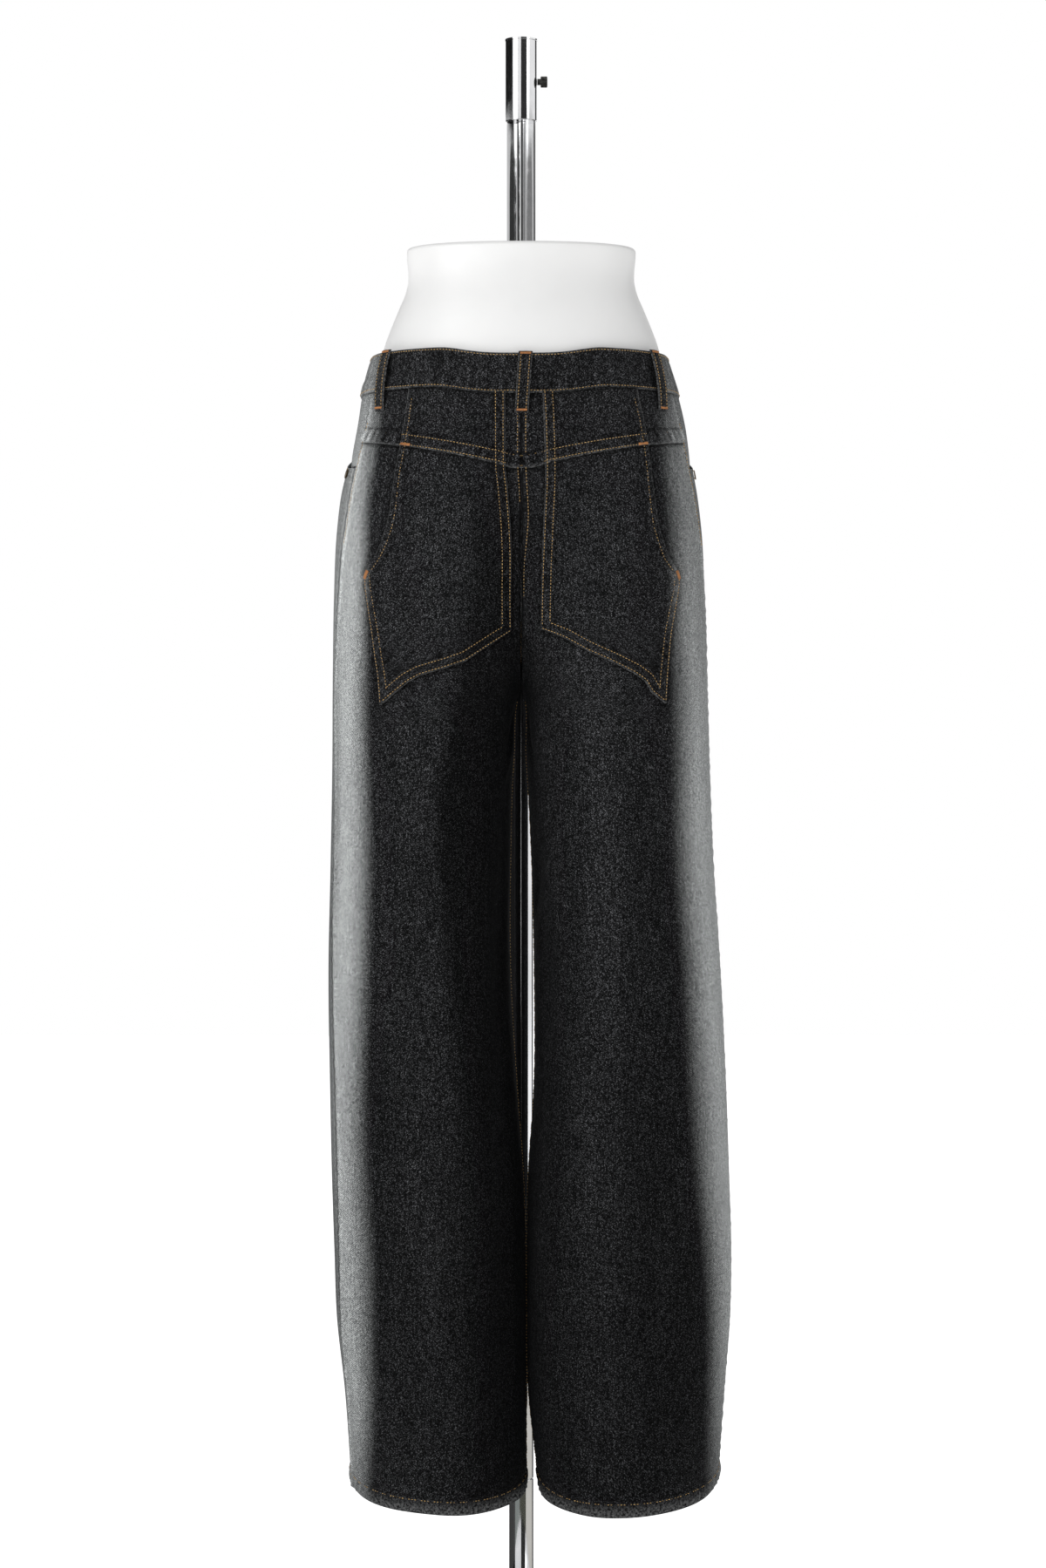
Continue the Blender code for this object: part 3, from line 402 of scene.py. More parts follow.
# Stand and small metal
BASE_RADIUS = 0.210
BASE_THICKNESS = 0.0060
POLE_Y = 0.165
POLE_RADIUS = 0.0120
UPPER_POLE_RADIUS = 0.0142
SLEEVE_RADIUS = 0.0148
SLEEVE_LOW = 1.4424
SLEEVE_TOP = 1.5202
ROD_RADIUS = 0.0045
ARM_Z = 1.4800
ARM_WIDTH = 0.0180
ARM_HEIGHT = 0.0240
BUTTON_X = 0.0040
KNURL = 0.00035
SHARP_ANGLE = math.radians(34)
FLOOR_HALF = 6.0
CARD_COLUMNS = 24
# Columns: name, solid, radius, low z, high z.
POLE_ROWS = (
    ("stand_pole_lower", "pole_lower", POLE_RADIUS, 0.0063, 0.1297),
    ("stand_pole_middle", "pole_middle", POLE_RADIUS, 0.1300, 1.1197),
    ("stand_pole_upper", "pole_upper", UPPER_POLE_RADIUS, 1.1200, 1.5000),
)


class Profile:
    """The columns of a table whose first column is a height, on smooth curves through its rows."""

    def __init__(self, rows):
        table = np.array(rows, float)[::-1]
        self.z = table[:, 0]
        self.values = table[:, 1:]
        self.slopes = np.gradient(self.values, self.z, axis=0)

    def at(self, z):
        z = np.clip(np.asarray(z, float), self.z[0], self.z[-1])
        i = np.clip(np.searchsorted(self.z, z) - 1, 0, len(self.z) - 2)
        step = (self.z[i + 1] - self.z[i])[..., None]
        s = (z - self.z[i])[..., None] / step
        low = (1 + 2 * s) * (1 - s) ** 2 * self.values[i] + step * s * (1 - s) ** 2 * self.slopes[i]
        high = s * s * (3 - 2 * s) * self.values[i + 1] - step * s * s * (1 - s) * self.slopes[i + 1]
        return np.moveaxis(low + high, -1, 0)


SECTIONS = {side: Profile(rows) for side, rows in SECTION_ROWS.items()}
FADES = {side: Profile(rows) for side, rows in FADE_ROWS.items()}
WASH_AND_PAINTED_LIGHTS = {side: Profile(rows) for side, rows in WASH_AND_PAINTED_LIGHT_ROWS.items()}


def soft_step(value):
    """0 below 0, 1 above 1, and smooth between."""
    value = np.clip(value, 0, 1)
    return value * value * (3 - 2 * value)


def bell(value, width):
    """1 at nought, falling smoothly away over a width on both sides."""
    return np.exp(-((value / width) ** 2))


def fold_height(side, angle, z):
    """How far the largest folds lift or sink the cloth."""
    lift = np.zeros(np.broadcast(angle, z).shape)
    for fold_side, start, top, bottom, width, drift, depth in FOLD_ROWS:
        if fold_side != side:
            continue
        along = (top - z) / (top - bottom)
        fade = soft_step(along / 0.35) * soft_step((1.12 - along) / 0.25)
        away = angle - np.radians(start + drift * along)
        away = (away + math.pi) % (2 * math.pi) - math.pi
        lift = lift + depth * fade * bell(away, math.radians(width))
    return lift


def crease_height(side, angle, z):
    """How far the creases lift or sink the cloth, measured on a chart of one radius."""
    lift = np.zeros(np.broadcast(angle, z).shape)
    for crease_side, first, first_z, last, last_z, width, depth in CREASE_ROWS:
        if crease_side != side:
            continue
        start = np.array((math.radians(first) * CHART_RADIUS, first_z))
        run = np.array((math.radians(last) * CHART_RADIUS, last_z)) - start
        length = math.hypot(*run)
        run = run / length
        u, v = angle * CHART_RADIUS - start[0], z - start[1]
        along = (u * run[0] + v * run[1]) / length
        bend = 0.05 * length * np.sin(math.pi * np.clip(along, 0, 1))
        across = v * run[0] - u * run[1] - bend
        ends = soft_step((along + 0.10) / 0.45) * soft_step((1.10 - along) / 0.45)
        lift = lift + depth * MILLIMETRE * ends * bell(across, width * MILLIMETRE)
    return lift


def pucker_height(side, angle, z):
    """Small bumps that the stitching draws up along the outseam and inseam."""
    reach = oval(side, z)[1]
    from_seam = (angle - np.radians(SECTIONS[side].at(z)[5])) * reach
    wave = np.sin(z * 620 + 2 * np.sin(z * 97)) + 0.6 * np.sin(z * 391 + 1.3)
    lift = 0.00035 * wave * bell(from_seam, 0.0075)
    ridge = 0.0006 * np.exp(-(((from_seam + 0.0035) / 0.0035) ** 4))
    from_inseam = (math.pi - np.abs(angle)) * reach
    below = soft_step((CROTCH - z) / 0.02)
    inseam_wave = np.sin(z * 560 + 1.5 * np.sin(z * 83))
    lift = lift + 0.0003 * inseam_wave * below * bell(from_inseam, 0.007)
    return lift + ridge * soft_step((1.16 - z) / 0.02)


def oval(side, z):
    """Centre, reach, middle, depth and squareness of a half's section."""
    outer, inner, back, front, power, _ = SECTIONS[side].at(z)
    return (outer + inner) / 2, (outer - inner) / 2, (front + back) / 2, (front - back) / 2, power


def ring(side, angle, z, fine=True):
    """The half's face at a direction angle, with x growing away from the centre plane.

    The angle is 0 at the outer side, 90 degrees at the front and 180 at the inseam, and negative
    round the back.
    """
    centre, reach, middle, depth, power = oval(side, z)
    across, along = np.cos(angle), np.sin(angle)
    radius = ((np.abs(across) / reach) ** power + (np.abs(along) / depth) ** power) ** (-1 / power)
    radius = radius + fold_height(side, angle, z)
    if fine:
        radius = radius + crease_height(side, angle, z) + pucker_height(side, angle, z)
    x, y, z = np.broadcast_arrays(centre + radius * across, middle + radius * along, z)
    return np.stack((x, y, z), axis=-1)


def surface(side, angle, z, out=0.0, fine=True):
    """A point of the cloth's outer face in the world, moved out along the face's normal."""
    angle, z = np.broadcast_arrays(np.asarray(angle, float), np.asarray(z, float))
    point = ring(side, angle, z, fine)
    turn = ring(side, angle + 4 * NORMAL_STEP, z, fine) - ring(side, angle - 4 * NORMAL_STEP, z, fine)
    rise = ring(side, angle, z + NORMAL_STEP, fine) - ring(side, angle, z - NORMAL_STEP, fine)
    normal = np.cross(turn, rise)
    normal /= np.linalg.norm(normal, axis=-1, keepdims=True)
    moved = point + normal * np.asarray(out)[..., None]
    above = z > CROTCH
    moved[..., 0] = np.where(above, np.maximum(moved[..., 0], SEAM_CLOSE / 2), moved[..., 0])
    return moved * np.array((SIGN[side], 1.0, 1.0))


def angle_at(side, x, z, face):
    """The direction angle of the face's point at distance x from the centre plane."""
    centre, reach, _, depth, power = oval(side, z)
    across = np.clip((np.asarray(x) - centre) / reach, -1, 1)
    along = depth * (1 - np.abs(across) ** power) ** (1 / power)
    angle = np.arctan2(along, across * reach)
    return angle if face == "front" else -angle


def inner_angle(side, z):
    """Where a panel ends: at the inseam below the crotch, and at the centre plane above it."""
    reach = oval(side, z)[1]
    inseam = math.pi - SEAM_CLOSE / 2 / reach
    centre_plane = angle_at(side, SEAM_CLOSE / 2, z, "front")
    return np.where(z > CROTCH, np.minimum(centre_plane, inseam), inseam)


def back_inner(side, z):
    return -inner_angle(side, z)


def seam_angle(side, z, gaps):
    """The outseam's direction, moved forward by a number of half seam gaps."""
    reach = oval(side, z)[1]
    return np.radians(SECTIONS[side].at(z)[5]) + gaps * SEAM_CLOSE / 2 / reach


def back_outer(side, z):
    return seam_angle(side, z, -1)


def mouth_angle(side, z):
    """The front pocket's mouth, which is the outseam at its lower end."""
    share = np.clip((z - MOUTH_LOW) / (WAIST_TOP - BAND_HEIGHT - MOUTH_LOW), 0, 1)
    seam = seam_angle(side, z, 1)
    return seam + (MOUTH_TOP_ANGLE - seam) * share**0.5


def facing_start(side, z):
    return seam_angle(side, z, 1)


def facing_end(side, z):
    """The hip facing's hidden edge, which laps under the front panel except at the mouth's corner."""
    share = np.clip((z - MOUTH_LOW) / FACING_CORNER, 0, 1)
    return mouth_angle(side, z) + FACING_LAP * share - FACING_INSET * (1 - share)


def level(inner, outer):
    """A row of a panel between two heights."""
    return lambda side, angle, share: inner * (1 - share) + outer * share


def along(line, rise=0.0):
    """A row of a panel along a seam or hem, whose height is given by the angle."""
    return lambda side, angle, share: line(side, angle) + rise


def waist_top(side, angle):
    back = soft_step((-np.sin(angle) - 0.75) / 0.25)
    front = ((1 + np.sin(angle)) / 2) ** 3
    return WAIST_TOP - BACK_DIP * back - FRONT_DIP * front


def waist_seam(side, angle):
    return waist_top(side, angle) - BAND_HEIGHT


def below_waist_seam(side, angle):
    return waist_seam(side, angle) - SEAM_GAP


def yoke_seam(side, angle):
    """The curved V between yoke and back panel, rounded at the centre."""
    x = ring(side, angle, YOKE_CENTRE + YOKE_RISE / 2, fine=False)[..., 0]
    away = np.hypot(x, YOKE_ROUND) - YOKE_ROUND
    return YOKE_CENTRE + YOKE_RISE * np.minimum(away / YOKE_REACH, 1.1) ** YOKE_CURVE


def below_yoke_seam(side, angle):
    return yoke_seam(side, angle) - SEAM_GAP


def hem(side, angle):
    front, drop = HEM_ROWS[side]
    return front - drop * ((1 - np.sin(angle + HEM_LEAN)) / 2) ** 1.5


def front_top_row(step, outer_part):
    """A row of the front panel between the waistband and the foot of the pocket's mouth."""

    def height(side, angle, share):
        base = FRONT_TOP_LOW * (1 - share) + MOUTH_LOW * share
        part = (1 - step) * (1 - share) + outer_part * share
        return base + part * (below_waist_seam(side, angle) - base)

    return height


def mouth_row(part):
    """A row of the hip facing between the foot of the pocket's mouth and the waistband."""
    return lambda side, angle, share: MOUTH_LOW + part * (below_waist_seam(side, angle) - MOUTH_LOW)


def mixed(upper, lower, part):
    """A row at a part of the way from one row down to the next."""
    return lambda side, angle, share: (
        upper(side, angle, share) * (1 - part) + lower(side, angle, share) * part
    )


def finer(side, rows, inner_edge, outer_edge, pitch):
    """The same rows with others between them, about a pitch apart."""
    share = np.linspace(0, 1, 5)
    angle = inner_edge(side, CROTCH) * (1 - share) + outer_edge(side, CROTCH) * share
    fine = []
    for upper, lower in zip(rows, rows[1:]):
        drop = np.max(np.abs(upper(side, angle, share) - lower(side, angle, share)))
        steps = max(1, int(round(float(drop) / pitch)))
        fine += [mixed(upper, lower, k / steps) for k in range(steps)]
    return fine + [rows[-1]]


def panel_grid(side, rows, inner_edge, outer_edge, columns):
    """The angles and heights of a panel's points, from its inner edge to its outer one, closer
    together beside both edges."""
    even = np.linspace(0, 1, columns + 1)
    share = even * (1 - EDGE_DENSE) + soft_step(even) * EDGE_DENSE
    angles, heights = [], []
    for row in rows:
        angle = np.full(columns + 1, inner_edge(side, CROTCH) / 2)
        for _ in range(6):
            z = row(side, angle, share)
            angle = inner_edge(side, z[0]) * (1 - share) + outer_edge(side, z[-1]) * share
        angles.append(angle)
        heights.append(z)
    return np.array(angles), np.array(heights)


def fade_at(points):
    """How far the cloth is bleached at world points, from its distance to the outer silhouette."""
    x, z = points[..., 0], points[..., 2]
    fade = np.zeros(x.shape)
    for side, sign in SIGN.items():
        half, soft, strength, edge = FADES[side].at(z)
        inward = SECTIONS[side].at(z)[0] - x * sign
        wander = 0.0010 * np.sin(z * 13 + 2 * np.sin(z * 7))
        amount = strength * soft_step(0.5 + (half + wander - inward) / (2 * soft))
        amount = amount * (edge + (1 - edge) * soft_step((inward - 0.004) / 0.010))
        fade = np.where(x * sign > 0, amount, fade)
    return fade


def wash_and_painted_light_at(points):
    """What share of the lightest level the unbleached cloth has, from broad upright bands of painted shade
    and a painted highlight streak, partly the wash's own darker and lighter bands.
    """
    x, z = points[..., 0], points[..., 2]
    wash_and_painted_light = np.ones(x.shape)
    for side, sign in SIGN.items():
        lightest, line, soft, inside, middle, width, beside = WASH_AND_PAINTED_LIGHTS[side].at(z)
        dark = inside * soft_step(0.5 + (line - x * sign) / (2 * soft))
        off_streak = beside * (1 - bell(x * sign - middle, width))
        wash_and_painted_light = np.where(x * sign > 0, lightest * (1 - dark) * (1 - off_streak), wash_and_painted_light)
    return wash_and_painted_light


def link(name, mesh, material, smooth=True):
    """A mesh as a piece of the object, riding on its only body."""
    mesh.materials.append(material)
    item = bpy.data.objects.new(name, mesh)
    bpy.context.scene.collection.objects.link(item)
    if smooth:
        mesh.shade_smooth()
    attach(item, "root")
    return item


def fill(mesh, verts, faces):
    """Builds a mesh from arrays of points and quads."""
    mesh.vertices.add(len(verts))
    mesh.vertices.foreach_set("co", verts.ravel())
    mesh.loops.add(faces.size)
    mesh.loops.foreach_set("vertex_index", faces.ravel().astype(np.int32))
    mesh.polygons.add(len(faces))
    mesh.polygons.foreach_set("loop_start", np.arange(0, faces.size, faces.shape[1], dtype=np.int32))
    mesh.update(calc_edges=True)
    mesh.validate()


def shell(name, outer, inner, material, wear=None, fade=None, shade=1.0):
    """A closed thin wall between two grids of points, with a chart in metres for its weave."""
    rows, columns = outer.shape[:2]
    count = rows * columns
    index = np.arange(count).reshape(rows, columns)
    a, b, c, d = index[:-1, :-1], index[:-1, 1:], index[1:, 1:], index[1:, :-1]
    faces = np.stack((a, b, c, d), axis=-1).reshape(-1, 4)
    rim = np.concatenate((index[0, :-1], index[:-1, -1], index[-1, :0:-1], index[:0:-1, 0]))
    after = np.roll(rim, -1)
    sides = np.stack((after, rim, rim + count, after + count), axis=-1)
    middle = rows // 2, columns // 2
    edge_u = outer[middle[0], middle[1] + 1] - outer[middle]
    edge_v = outer[middle[0] + 1, middle[1]] - outer[middle]
    outwards = outer[middle] - inner[middle]
    faces = np.concatenate((faces, faces[:, ::-1] + count, sides))
    if np.dot(np.cross(edge_v, edge_u), outwards) > 0:
        faces = faces[:, ::-1]
    mesh = bpy.data.meshes.new(name)
    fill(mesh, np.concatenate((outer.reshape(-1, 3), inner.reshape(-1, 3))), faces)
    u = np.zeros((rows, columns))
    u[:, 1:] = np.cumsum(np.linalg.norm(np.diff(outer, axis=1), axis=-1), axis=1)
    u -= u[:, columns // 2][:, None]
    v = np.zeros(rows)
    v[1:] = -np.cumsum(np.linalg.norm(np.diff(outer, axis=0), axis=-1).mean(axis=1))
    chart = np.stack((u, np.repeat(v[:, None], columns, axis=1)), axis=-1).reshape(-1, 2)
    chart = np.concatenate((chart, chart))
    loop_verts = np.empty(len(mesh.loops), dtype=np.int32)
    mesh.loops.foreach_get("vertex_index", loop_verts)
    layer = mesh.uv_layers.new(name="weave")
    layer.data.foreach_set("uv", chart[loop_verts].astype(np.float32).ravel())
    fade = fade_at(outer) if fade is None else fade
    wear = np.zeros((rows, columns)) if wear is None else np.broadcast_to(wear, (rows, columns))
    shade = np.broadcast_to(shade, (rows, columns))
    for key, values in (("fade", fade), ("wear", wear), ("wash_and_painted_light", wash_and_painted_light_at(outer)), ("shade", shade)):
        attribute = mesh.attributes.new(key, "FLOAT", "POINT")
        both = np.concatenate((values.ravel(), values.ravel())).astype(np.float32)
        attribute.data.foreach_set("value", both)
    return link(name, mesh, material)


def from_edges(side, angles, heights):
    """The distance of a panel's points from the nearer of its two long edges."""
    reach = oval(side, heights)[1]
    return np.minimum(np.abs(angles - angles[:, :1]), np.abs(angles - angles[:, -1:])) * reach


def edge_roll(side, angles, heights):
    """How far a panel's two long edges roll in to their seams, and stand up beside them."""
    away = from_edges(side, angles, heights)
    return 0.0005 * bell(away - 0.0030, 0.0022) - 0.0009 * bell(away, 0.0012)


def seam_shade(side, angles, heights):
    """The painted shade line along a panel's long edges, and the paler ridge beside it, part wear and part
    painted highlight.
    """
    away = from_edges(side, angles, heights)
    return (1 - 0.62 * bell(away, 0.0020)) * (1 + 0.40 * bell(away - 0.0052, 0.0024))


def waist_shade(side, angles, heights):
    """The shadow under the waistband's lower edge."""
    return 1 - 0.55 * bell(below_waist_seam(side, angles) - heights, 0.0030)


def cloth_panel(side, rows, edges, columns, pitch, out=0.0, swell=None):
    """A dense shell over a panel's rows."""
    fine = finer(side, rows, *edges, pitch)
    angles, heights = panel_grid(side, fine, *edges, columns)
    lift = out + edge_roll(side, angles, heights)
    if swell is not None:
        lift = lift + swell(side, angles, heights)
    outer = surface(side, angles, heights, lift)
    inner = surface(side, angles, heights, lift - SHELL)
    return angles, heights, outer, inner


def leg_rows():
    """The rows that the front and back panels share, down to the turned hem."""
    return [level(inner, outer) for inner, outer in ROW_TABLE] + [along(hem, HEM_TURN + 0.002)]


def below_yoke(side, angles, heights):
    """The back panel sinks under the yoke's felled edge, drawn in unevenly by the stitches."""
    down = yoke_seam(side, angles) - heights
    draw = 1 + 0.5 * np.sin(angles * 74 + 1.7 * np.sin(angles * 13))
    return -0.0009 * draw * bell(down, 0.0060)


def yoke_shadow(side, angles, heights):
    """The shadow that the yoke's edge casts on what lies below it."""
    return 1 - 0.50 * bell(yoke_seam(side, angles) - heights, 0.0035)


def yoke_wave(angles, up):
    """The puckers of the yoke's felled band, which run on a slant."""
    run = angles * HIP_REACH
    return np.sin(run * 690 + up * 160 + 1.6 * np.sin(run * 91)) + 0.6 * np.sin(run * 430)


def felled_yoke(side, angles, heights):
    """The yoke's felled edge: a raised band between its two rows of stitches, with puckers."""
    up = heights - yoke_seam(side, angles)
    band = soft_step(up / 0.0010) * soft_step((0.0130 - up) / 0.0016)
    low_row, high_row = FELLED_ROWS
    dents = bell(up - low_row, 0.0007) + bell(up - high_row, 0.0007)
    pucker = yoke_wave(angles, up) * bell(up - FELLED_BAND / 2, 0.0060)
    return 0.0009 * band - 0.0004 * dents * band + 0.00028 * pucker


def felled_shade(up, wave):
    """Painted light and shade over the felled band's puckers, partly their wear, and a painted shade line
    along its upper edge.
    """
    rippled = 1 + 0.45 * wave * bell(up - FELLED_BAND / 2, 0.0075)
    return rippled * (1 - 0.50 * bell(up - FELLED_BAND, 0.0012))


def back_panel(side):
    rows = [along(below_yoke_seam)] + leg_rows()
    edges = back_inner, back_outer
    angles, heights, outer, inner = cloth_panel(
        side, rows, edges, PANEL_COLUMNS, PANEL_PITCH, swell=below_yoke
    )
    away = edge_distance(side, np.abs(outer[..., 0]), heights)
    back = np.where(outer[..., 1] < 0, 1.0, 0.0)
    # Painted shadow along the pockets' outlines and under the yoke, over the seams' painted shade.
    shade = seam_shade(side, angles, heights) * (1 - 0.55 * bell(away, 0.0030) * back)
    shade = shade * yoke_shadow(side, angles, heights)
    return shell("cloth_back_" + side, outer, inner, denim, shade=shade)


def yoke(side):
    rows = [along(below_waist_seam), along(yoke_seam)]
    edges = back_inner, back_outer
    angles, heights, outer, inner = cloth_panel(
        side, rows, edges, YOKE_COLUMNS, YOKE_PITCH, swell=felled_yoke
    )
    up = heights - yoke_seam(side, angles)
    wear = 0.85 * (1 - soft_step(up / 0.0022))
    shade = seam_shade(side, angles, heights) * waist_shade(side, angles, heights)
    shade = shade * felled_shade(up, yoke_wave(angles, up))
    return shell("cloth_yoke_" + side, outer, inner, denim, wear=wear, shade=shade)


def front_panel(side):
    steps = len(FRONT_TOP_SHARES) - 1
    rows = [front_top_row(k / steps, part) for k, part in enumerate(FRONT_TOP_SHARES)]
    edges = inner_angle, mouth_angle
    angles, heights, outer, inner = cloth_panel(
        side, rows + leg_rows(), edges, PANEL_COLUMNS, PANEL_PITCH
    )
    shade = seam_shade(side, angles, heights) * waist_shade(side, angles, heights)
    shade = shade * np.where(outer[..., 1] < 0, 0.72, 1.0)
    return shell("cloth_front_" + side, outer, inner, denim, shade=shade)


def facing(side):
    rows = [mouth_row(part) for part in (1.0, 0.75, 0.5, 0.28, 0.12, 0.03)]
    fine = finer(side, rows, facing_start, facing_end, 0.003)
    angles, heights = panel_grid(side, fine, facing_start, facing_end, 40)
    start = facing_start(side, heights)
    run = (angles - start) / (mouth_angle(side, heights) - start)
    drop = FACING_DROP * soft_step(run / 0.8)
    outer = surface(side, angles, heights, -drop)
    inner = surface(side, angles, heights, -drop - SHELL)
    return shell("cloth_hip_facing_" + side, outer, inner, denim)


def hem_swell(side, angles, heights):
    """The turned hem: thicker, roped on the slant and drawn in at its stitches."""
    up = (heights - hem(side, angles)) / HEM_TURN
    reach = oval(side, heights)[1]
    run = angles * reach * 1.1
    rope = np.sin(run * 560 + up * 3.4 + 1.3 * np.sin(run * 61))
    rope = rope + 0.5 * np.sin(run * 930 - up * 2.0 + 2.1 * np.sin(run * 47))
    body = soft_step(up / 0.12) * soft_step((1.06 - up) / 0.14)
    dent = bell(up - 0.96, 0.10)
    slack = 0.0007 * np.sin(run * 74 + 1.1) * soft_step((1.1 - up) / 0.9)
    return 0.0007 * body + 0.00055 * rope * body - 0.0005 * dent + slack


def hem_band(side, part, edges):
    rows = [along(hem, HEM_TURN + 0.003), along(hem)]
    angles, heights, outer, inner = cloth_panel(
        side, rows, edges, HEM_COLUMNS, HEM_PITCH, out=0.0001, swell=hem_swell
    )
    up = (heights - hem(side, angles)) / HEM_TURN
    wear = 0.75 * soft_step(1.15 - up)
    slant = angles * oval(side, heights)[1] + 0.6 * (heights - hem(side, angles))
    shade = 1 + 0.35 * np.sin(slant * 690 + 1.5 * np.sin(slant * 83)) * bell(up - 0.5, 0.6)
    return shell("hem_" + part + "_" + side, outer, inner, denim, wear=wear, shade=shade)


def band_stations():
    """Side, share of the half's front-to-back angle and raise of each of the waistband's columns."""
    shares = np.linspace(0, 1, BAND_COLUMNS + 1)
    stations = [("left", share, 0.0) for share in np.linspace(0.95, 0.995, 8)]
    stations += [("right", share, 0.0) for share in shares[::-1]]
    stations += [("left", share, band_lap(share)) for share in shares[1:]]
    stations += [("right", share, LAP) for share in np.linspace(0.994, 0.93, 9)]
    return stations


def band_waves(angle, down):
    """The waistband's close puckers along its stitches, and its broad slack ones."""
    run = angle * BAND_REACH
    wave = np.sin(run * 610 + 2 * np.sin(run * 83)) + 0.7 * np.sin(run * 377 + 0.7)
    return wave, np.sin(run * 141 + down * 2.0 + 1.5 * np.sin(run * 37))


def band_lap(share):
    """How far the left end rises to lap over the right one."""
    return LAP * soft_step((share - 0.88) / 0.055)


def band_lift(side, angle, down):
    """The waistband's relief: rolled edges, dents along its stitches, puckers, and the crease where
    it buckles at the wearer's left back."""
    edge = np.minimum(down, 1 - down) * BAND_HEIGHT
    lift = -0.0008 * (1 - soft_step(edge / 0.0016))
    lift = lift - 0.0003 * bell(edge - 0.0026, 0.0009)
    wave, slack = band_waves(angle, down)
    low = 0.5 + 0.9 * soft_step((down - 0.4) / 0.5)
    lift = lift + (0.00022 * wave * low + 0.00035 * slack) * soft_step(edge / 0.004)
    if side == "left":
        near = bell(angle + math.radians(28), math.radians(26))
        lift = lift + near * (0.0016 * soft_step((down - 0.52) / 0.2) - 0.0004)
        lift = lift - near * 0.0012 * bell(down - 0.56, 0.07)
    return lift


def waistband():
    downs = np.concatenate(((0, 0.02, 0.045), np.linspace(0.08, 0.92, 13), (0.955, 0.98, 1.0)))
    outer, inner, worn, shade = [], [], [], []
    for side, share, lap in band_stations():
        start, end = -inner_angle(side, WAIST_TOP), inner_angle(side, WAIST_TOP)
        angle = np.full(len(downs), start * (1 - share) + end * share)
        z = waist_top(side, angle) - BAND_HEIGHT * downs
        lift = BAND_OUT + lap + band_lift(side, angle, downs)
        outer.append(surface(side, angle, z, lift))
        inner.append(surface(side, angle, z, BAND_OUT + lap - BAND_SHELL))
        worn.append(0.75 * (1 - soft_step(np.minimum(downs, 1 - downs) * BAND_HEIGHT / 0.003)))
        wave, slack = band_waves(angle, downs)
        # Painted light and shade over the puckers and slack folds, partly their wear.
        shade.append(1 + 0.20 * wave * (0.4 + bell(1 - downs, 0.4)) + 0.14 * slack)
    outer, inner, worn, shade = (np.stack(part, axis=1) for part in (outer, inner, worn, shade))
    return shell("cloth_waistband", outer, inner, denim, wear=worn, shade=shade)


def face_point(x, z, face, out):
    """A point of the back or front at signed distance x from the centre plane, moved out."""
    x = np.asarray(x, float)
    z, out = np.broadcast_to(z, x.shape), np.broadcast_to(out, x.shape)
    points = np.zeros(x.shape + (3,))
    for side, own in (("left", x < 0), ("right", x >= 0)):
        if own.any():
            angle = angle_at(side, np.abs(x[own]), z[own], face)
            points[own] = surface(side, angle, z[own], out[own])
    return points


def pocket_outline(side):
    """The whole pocket's outline as distance and height, from the top of its inner edge round its
    lower edge and tip to the top of its opening."""
    rows = POCKET_TOP_ROWS[side][:2] + POCKET_ROWS[side]
    inner = [(row[1], row[0]) for row in rows]
    outer = [(row[2], row[0]) for row in rows[::-1]]
    return np.array(inner + outer)


def beyond(points, line):
    """The distance of points from the nearest point of a line, in distance and height."""
    start, run = line[:-1], np.diff(line, axis=0)
    away = points[:, None] - start
    part = np.clip((away * run).sum(-1) / (run * run).sum(-1), 0, 1)
    return np.linalg.norm(away - part[..., None] * run, axis=-1).min(axis=1)


def edge_distance(side, x, z):
    """Distance in from the pocket's outline, negative outside it."""
    outline = pocket_outline(side)
    closed = np.concatenate((outline, outline[:1]))
    x, z = np.broadcast_arrays(np.asarray(x, float), np.minimum(z, outline[:, 1].max() - 0.0001))
    nearest = np.full(x.shape, 1.0)
    inside = np.zeros(x.shape, bool)
    for k, ((x0, z0), (x1, z1)) in enumerate(zip(closed, closed[1:])):
        dx, dz = x1 - x0, z1 - z0
        if k < len(outline) - 1:
            t = np.clip(((x - x0) * dx + (z - z0) * dz) / (dx * dx + dz * dz), 0, 1)
            nearest = np.minimum(nearest, np.hypot(x - x0 - t * dx, z - z0 - t * dz))
        if dz:
            crossing = ((z0 > z) != (z1 > z)) & (x < dx * (z - z0) / dz + x0)
            inside ^= crossing
    return np.where(inside, nearest, -nearest)


def pocket_band(inward):
    """1 over the folded band inside the pocket's outline, and 0 beyond it."""
    return soft_step(inward / 0.0018) * soft_step((0.0120 - inward) / 0.0030)


def layer_top(side, x, z):
    """How high the topmost layer lies over the back panel at a distance and height."""
    inward = edge_distance(side, x, z)
    return (POCKET_FACE + 0.0005 * pocket_band(inward)) * soft_step((inward + 0.0004) / 0.0012)


def pocket_grid(side, rows, share, top, bottom):
    """The angles and heights of one part's points, and which of them lie on its upright edges. The
    part reaches down to a seam, or has the heights of its own rows."""
    table = np.array(rows)
    parts = [0.0]
    for k, (upper, lower) in enumerate(zip(table, table[1:])):
        steps = max(2, int(round((upper[0] - lower[0]) / POCKET_PITCH)))
        parts += [k + (j + 1) / steps for j in range(steps)]
    parts = np.array(parts)
    index = np.arange(len(table))
    heights = np.interp(parts, index, table[:, 0])[:, None] * np.ones(len(share))
    edges = [np.interp(parts, index, table[:, k])[:, None] for k in (1, 2)]
    blend = np.clip(1 - parts, 0, 1)[:, None]
    down = (parts / parts[-1])[:, None]
    for _ in range(5):
        first, last = (angle_at(side, edge, heights, "back") for edge in edges)
        angles = first * (1 - share) + last * share
        if bottom is None:
            met = top(side, angles) * blend + table[1][0] * (1 - blend)
            heights = np.where(blend > 0, met, heights)
        else:
            heights = top(side, angles) * (1 - down) + bottom(side, angles) * down
    return angles, heights, np.isclose(angles, first) | np.isclose(angles, last)


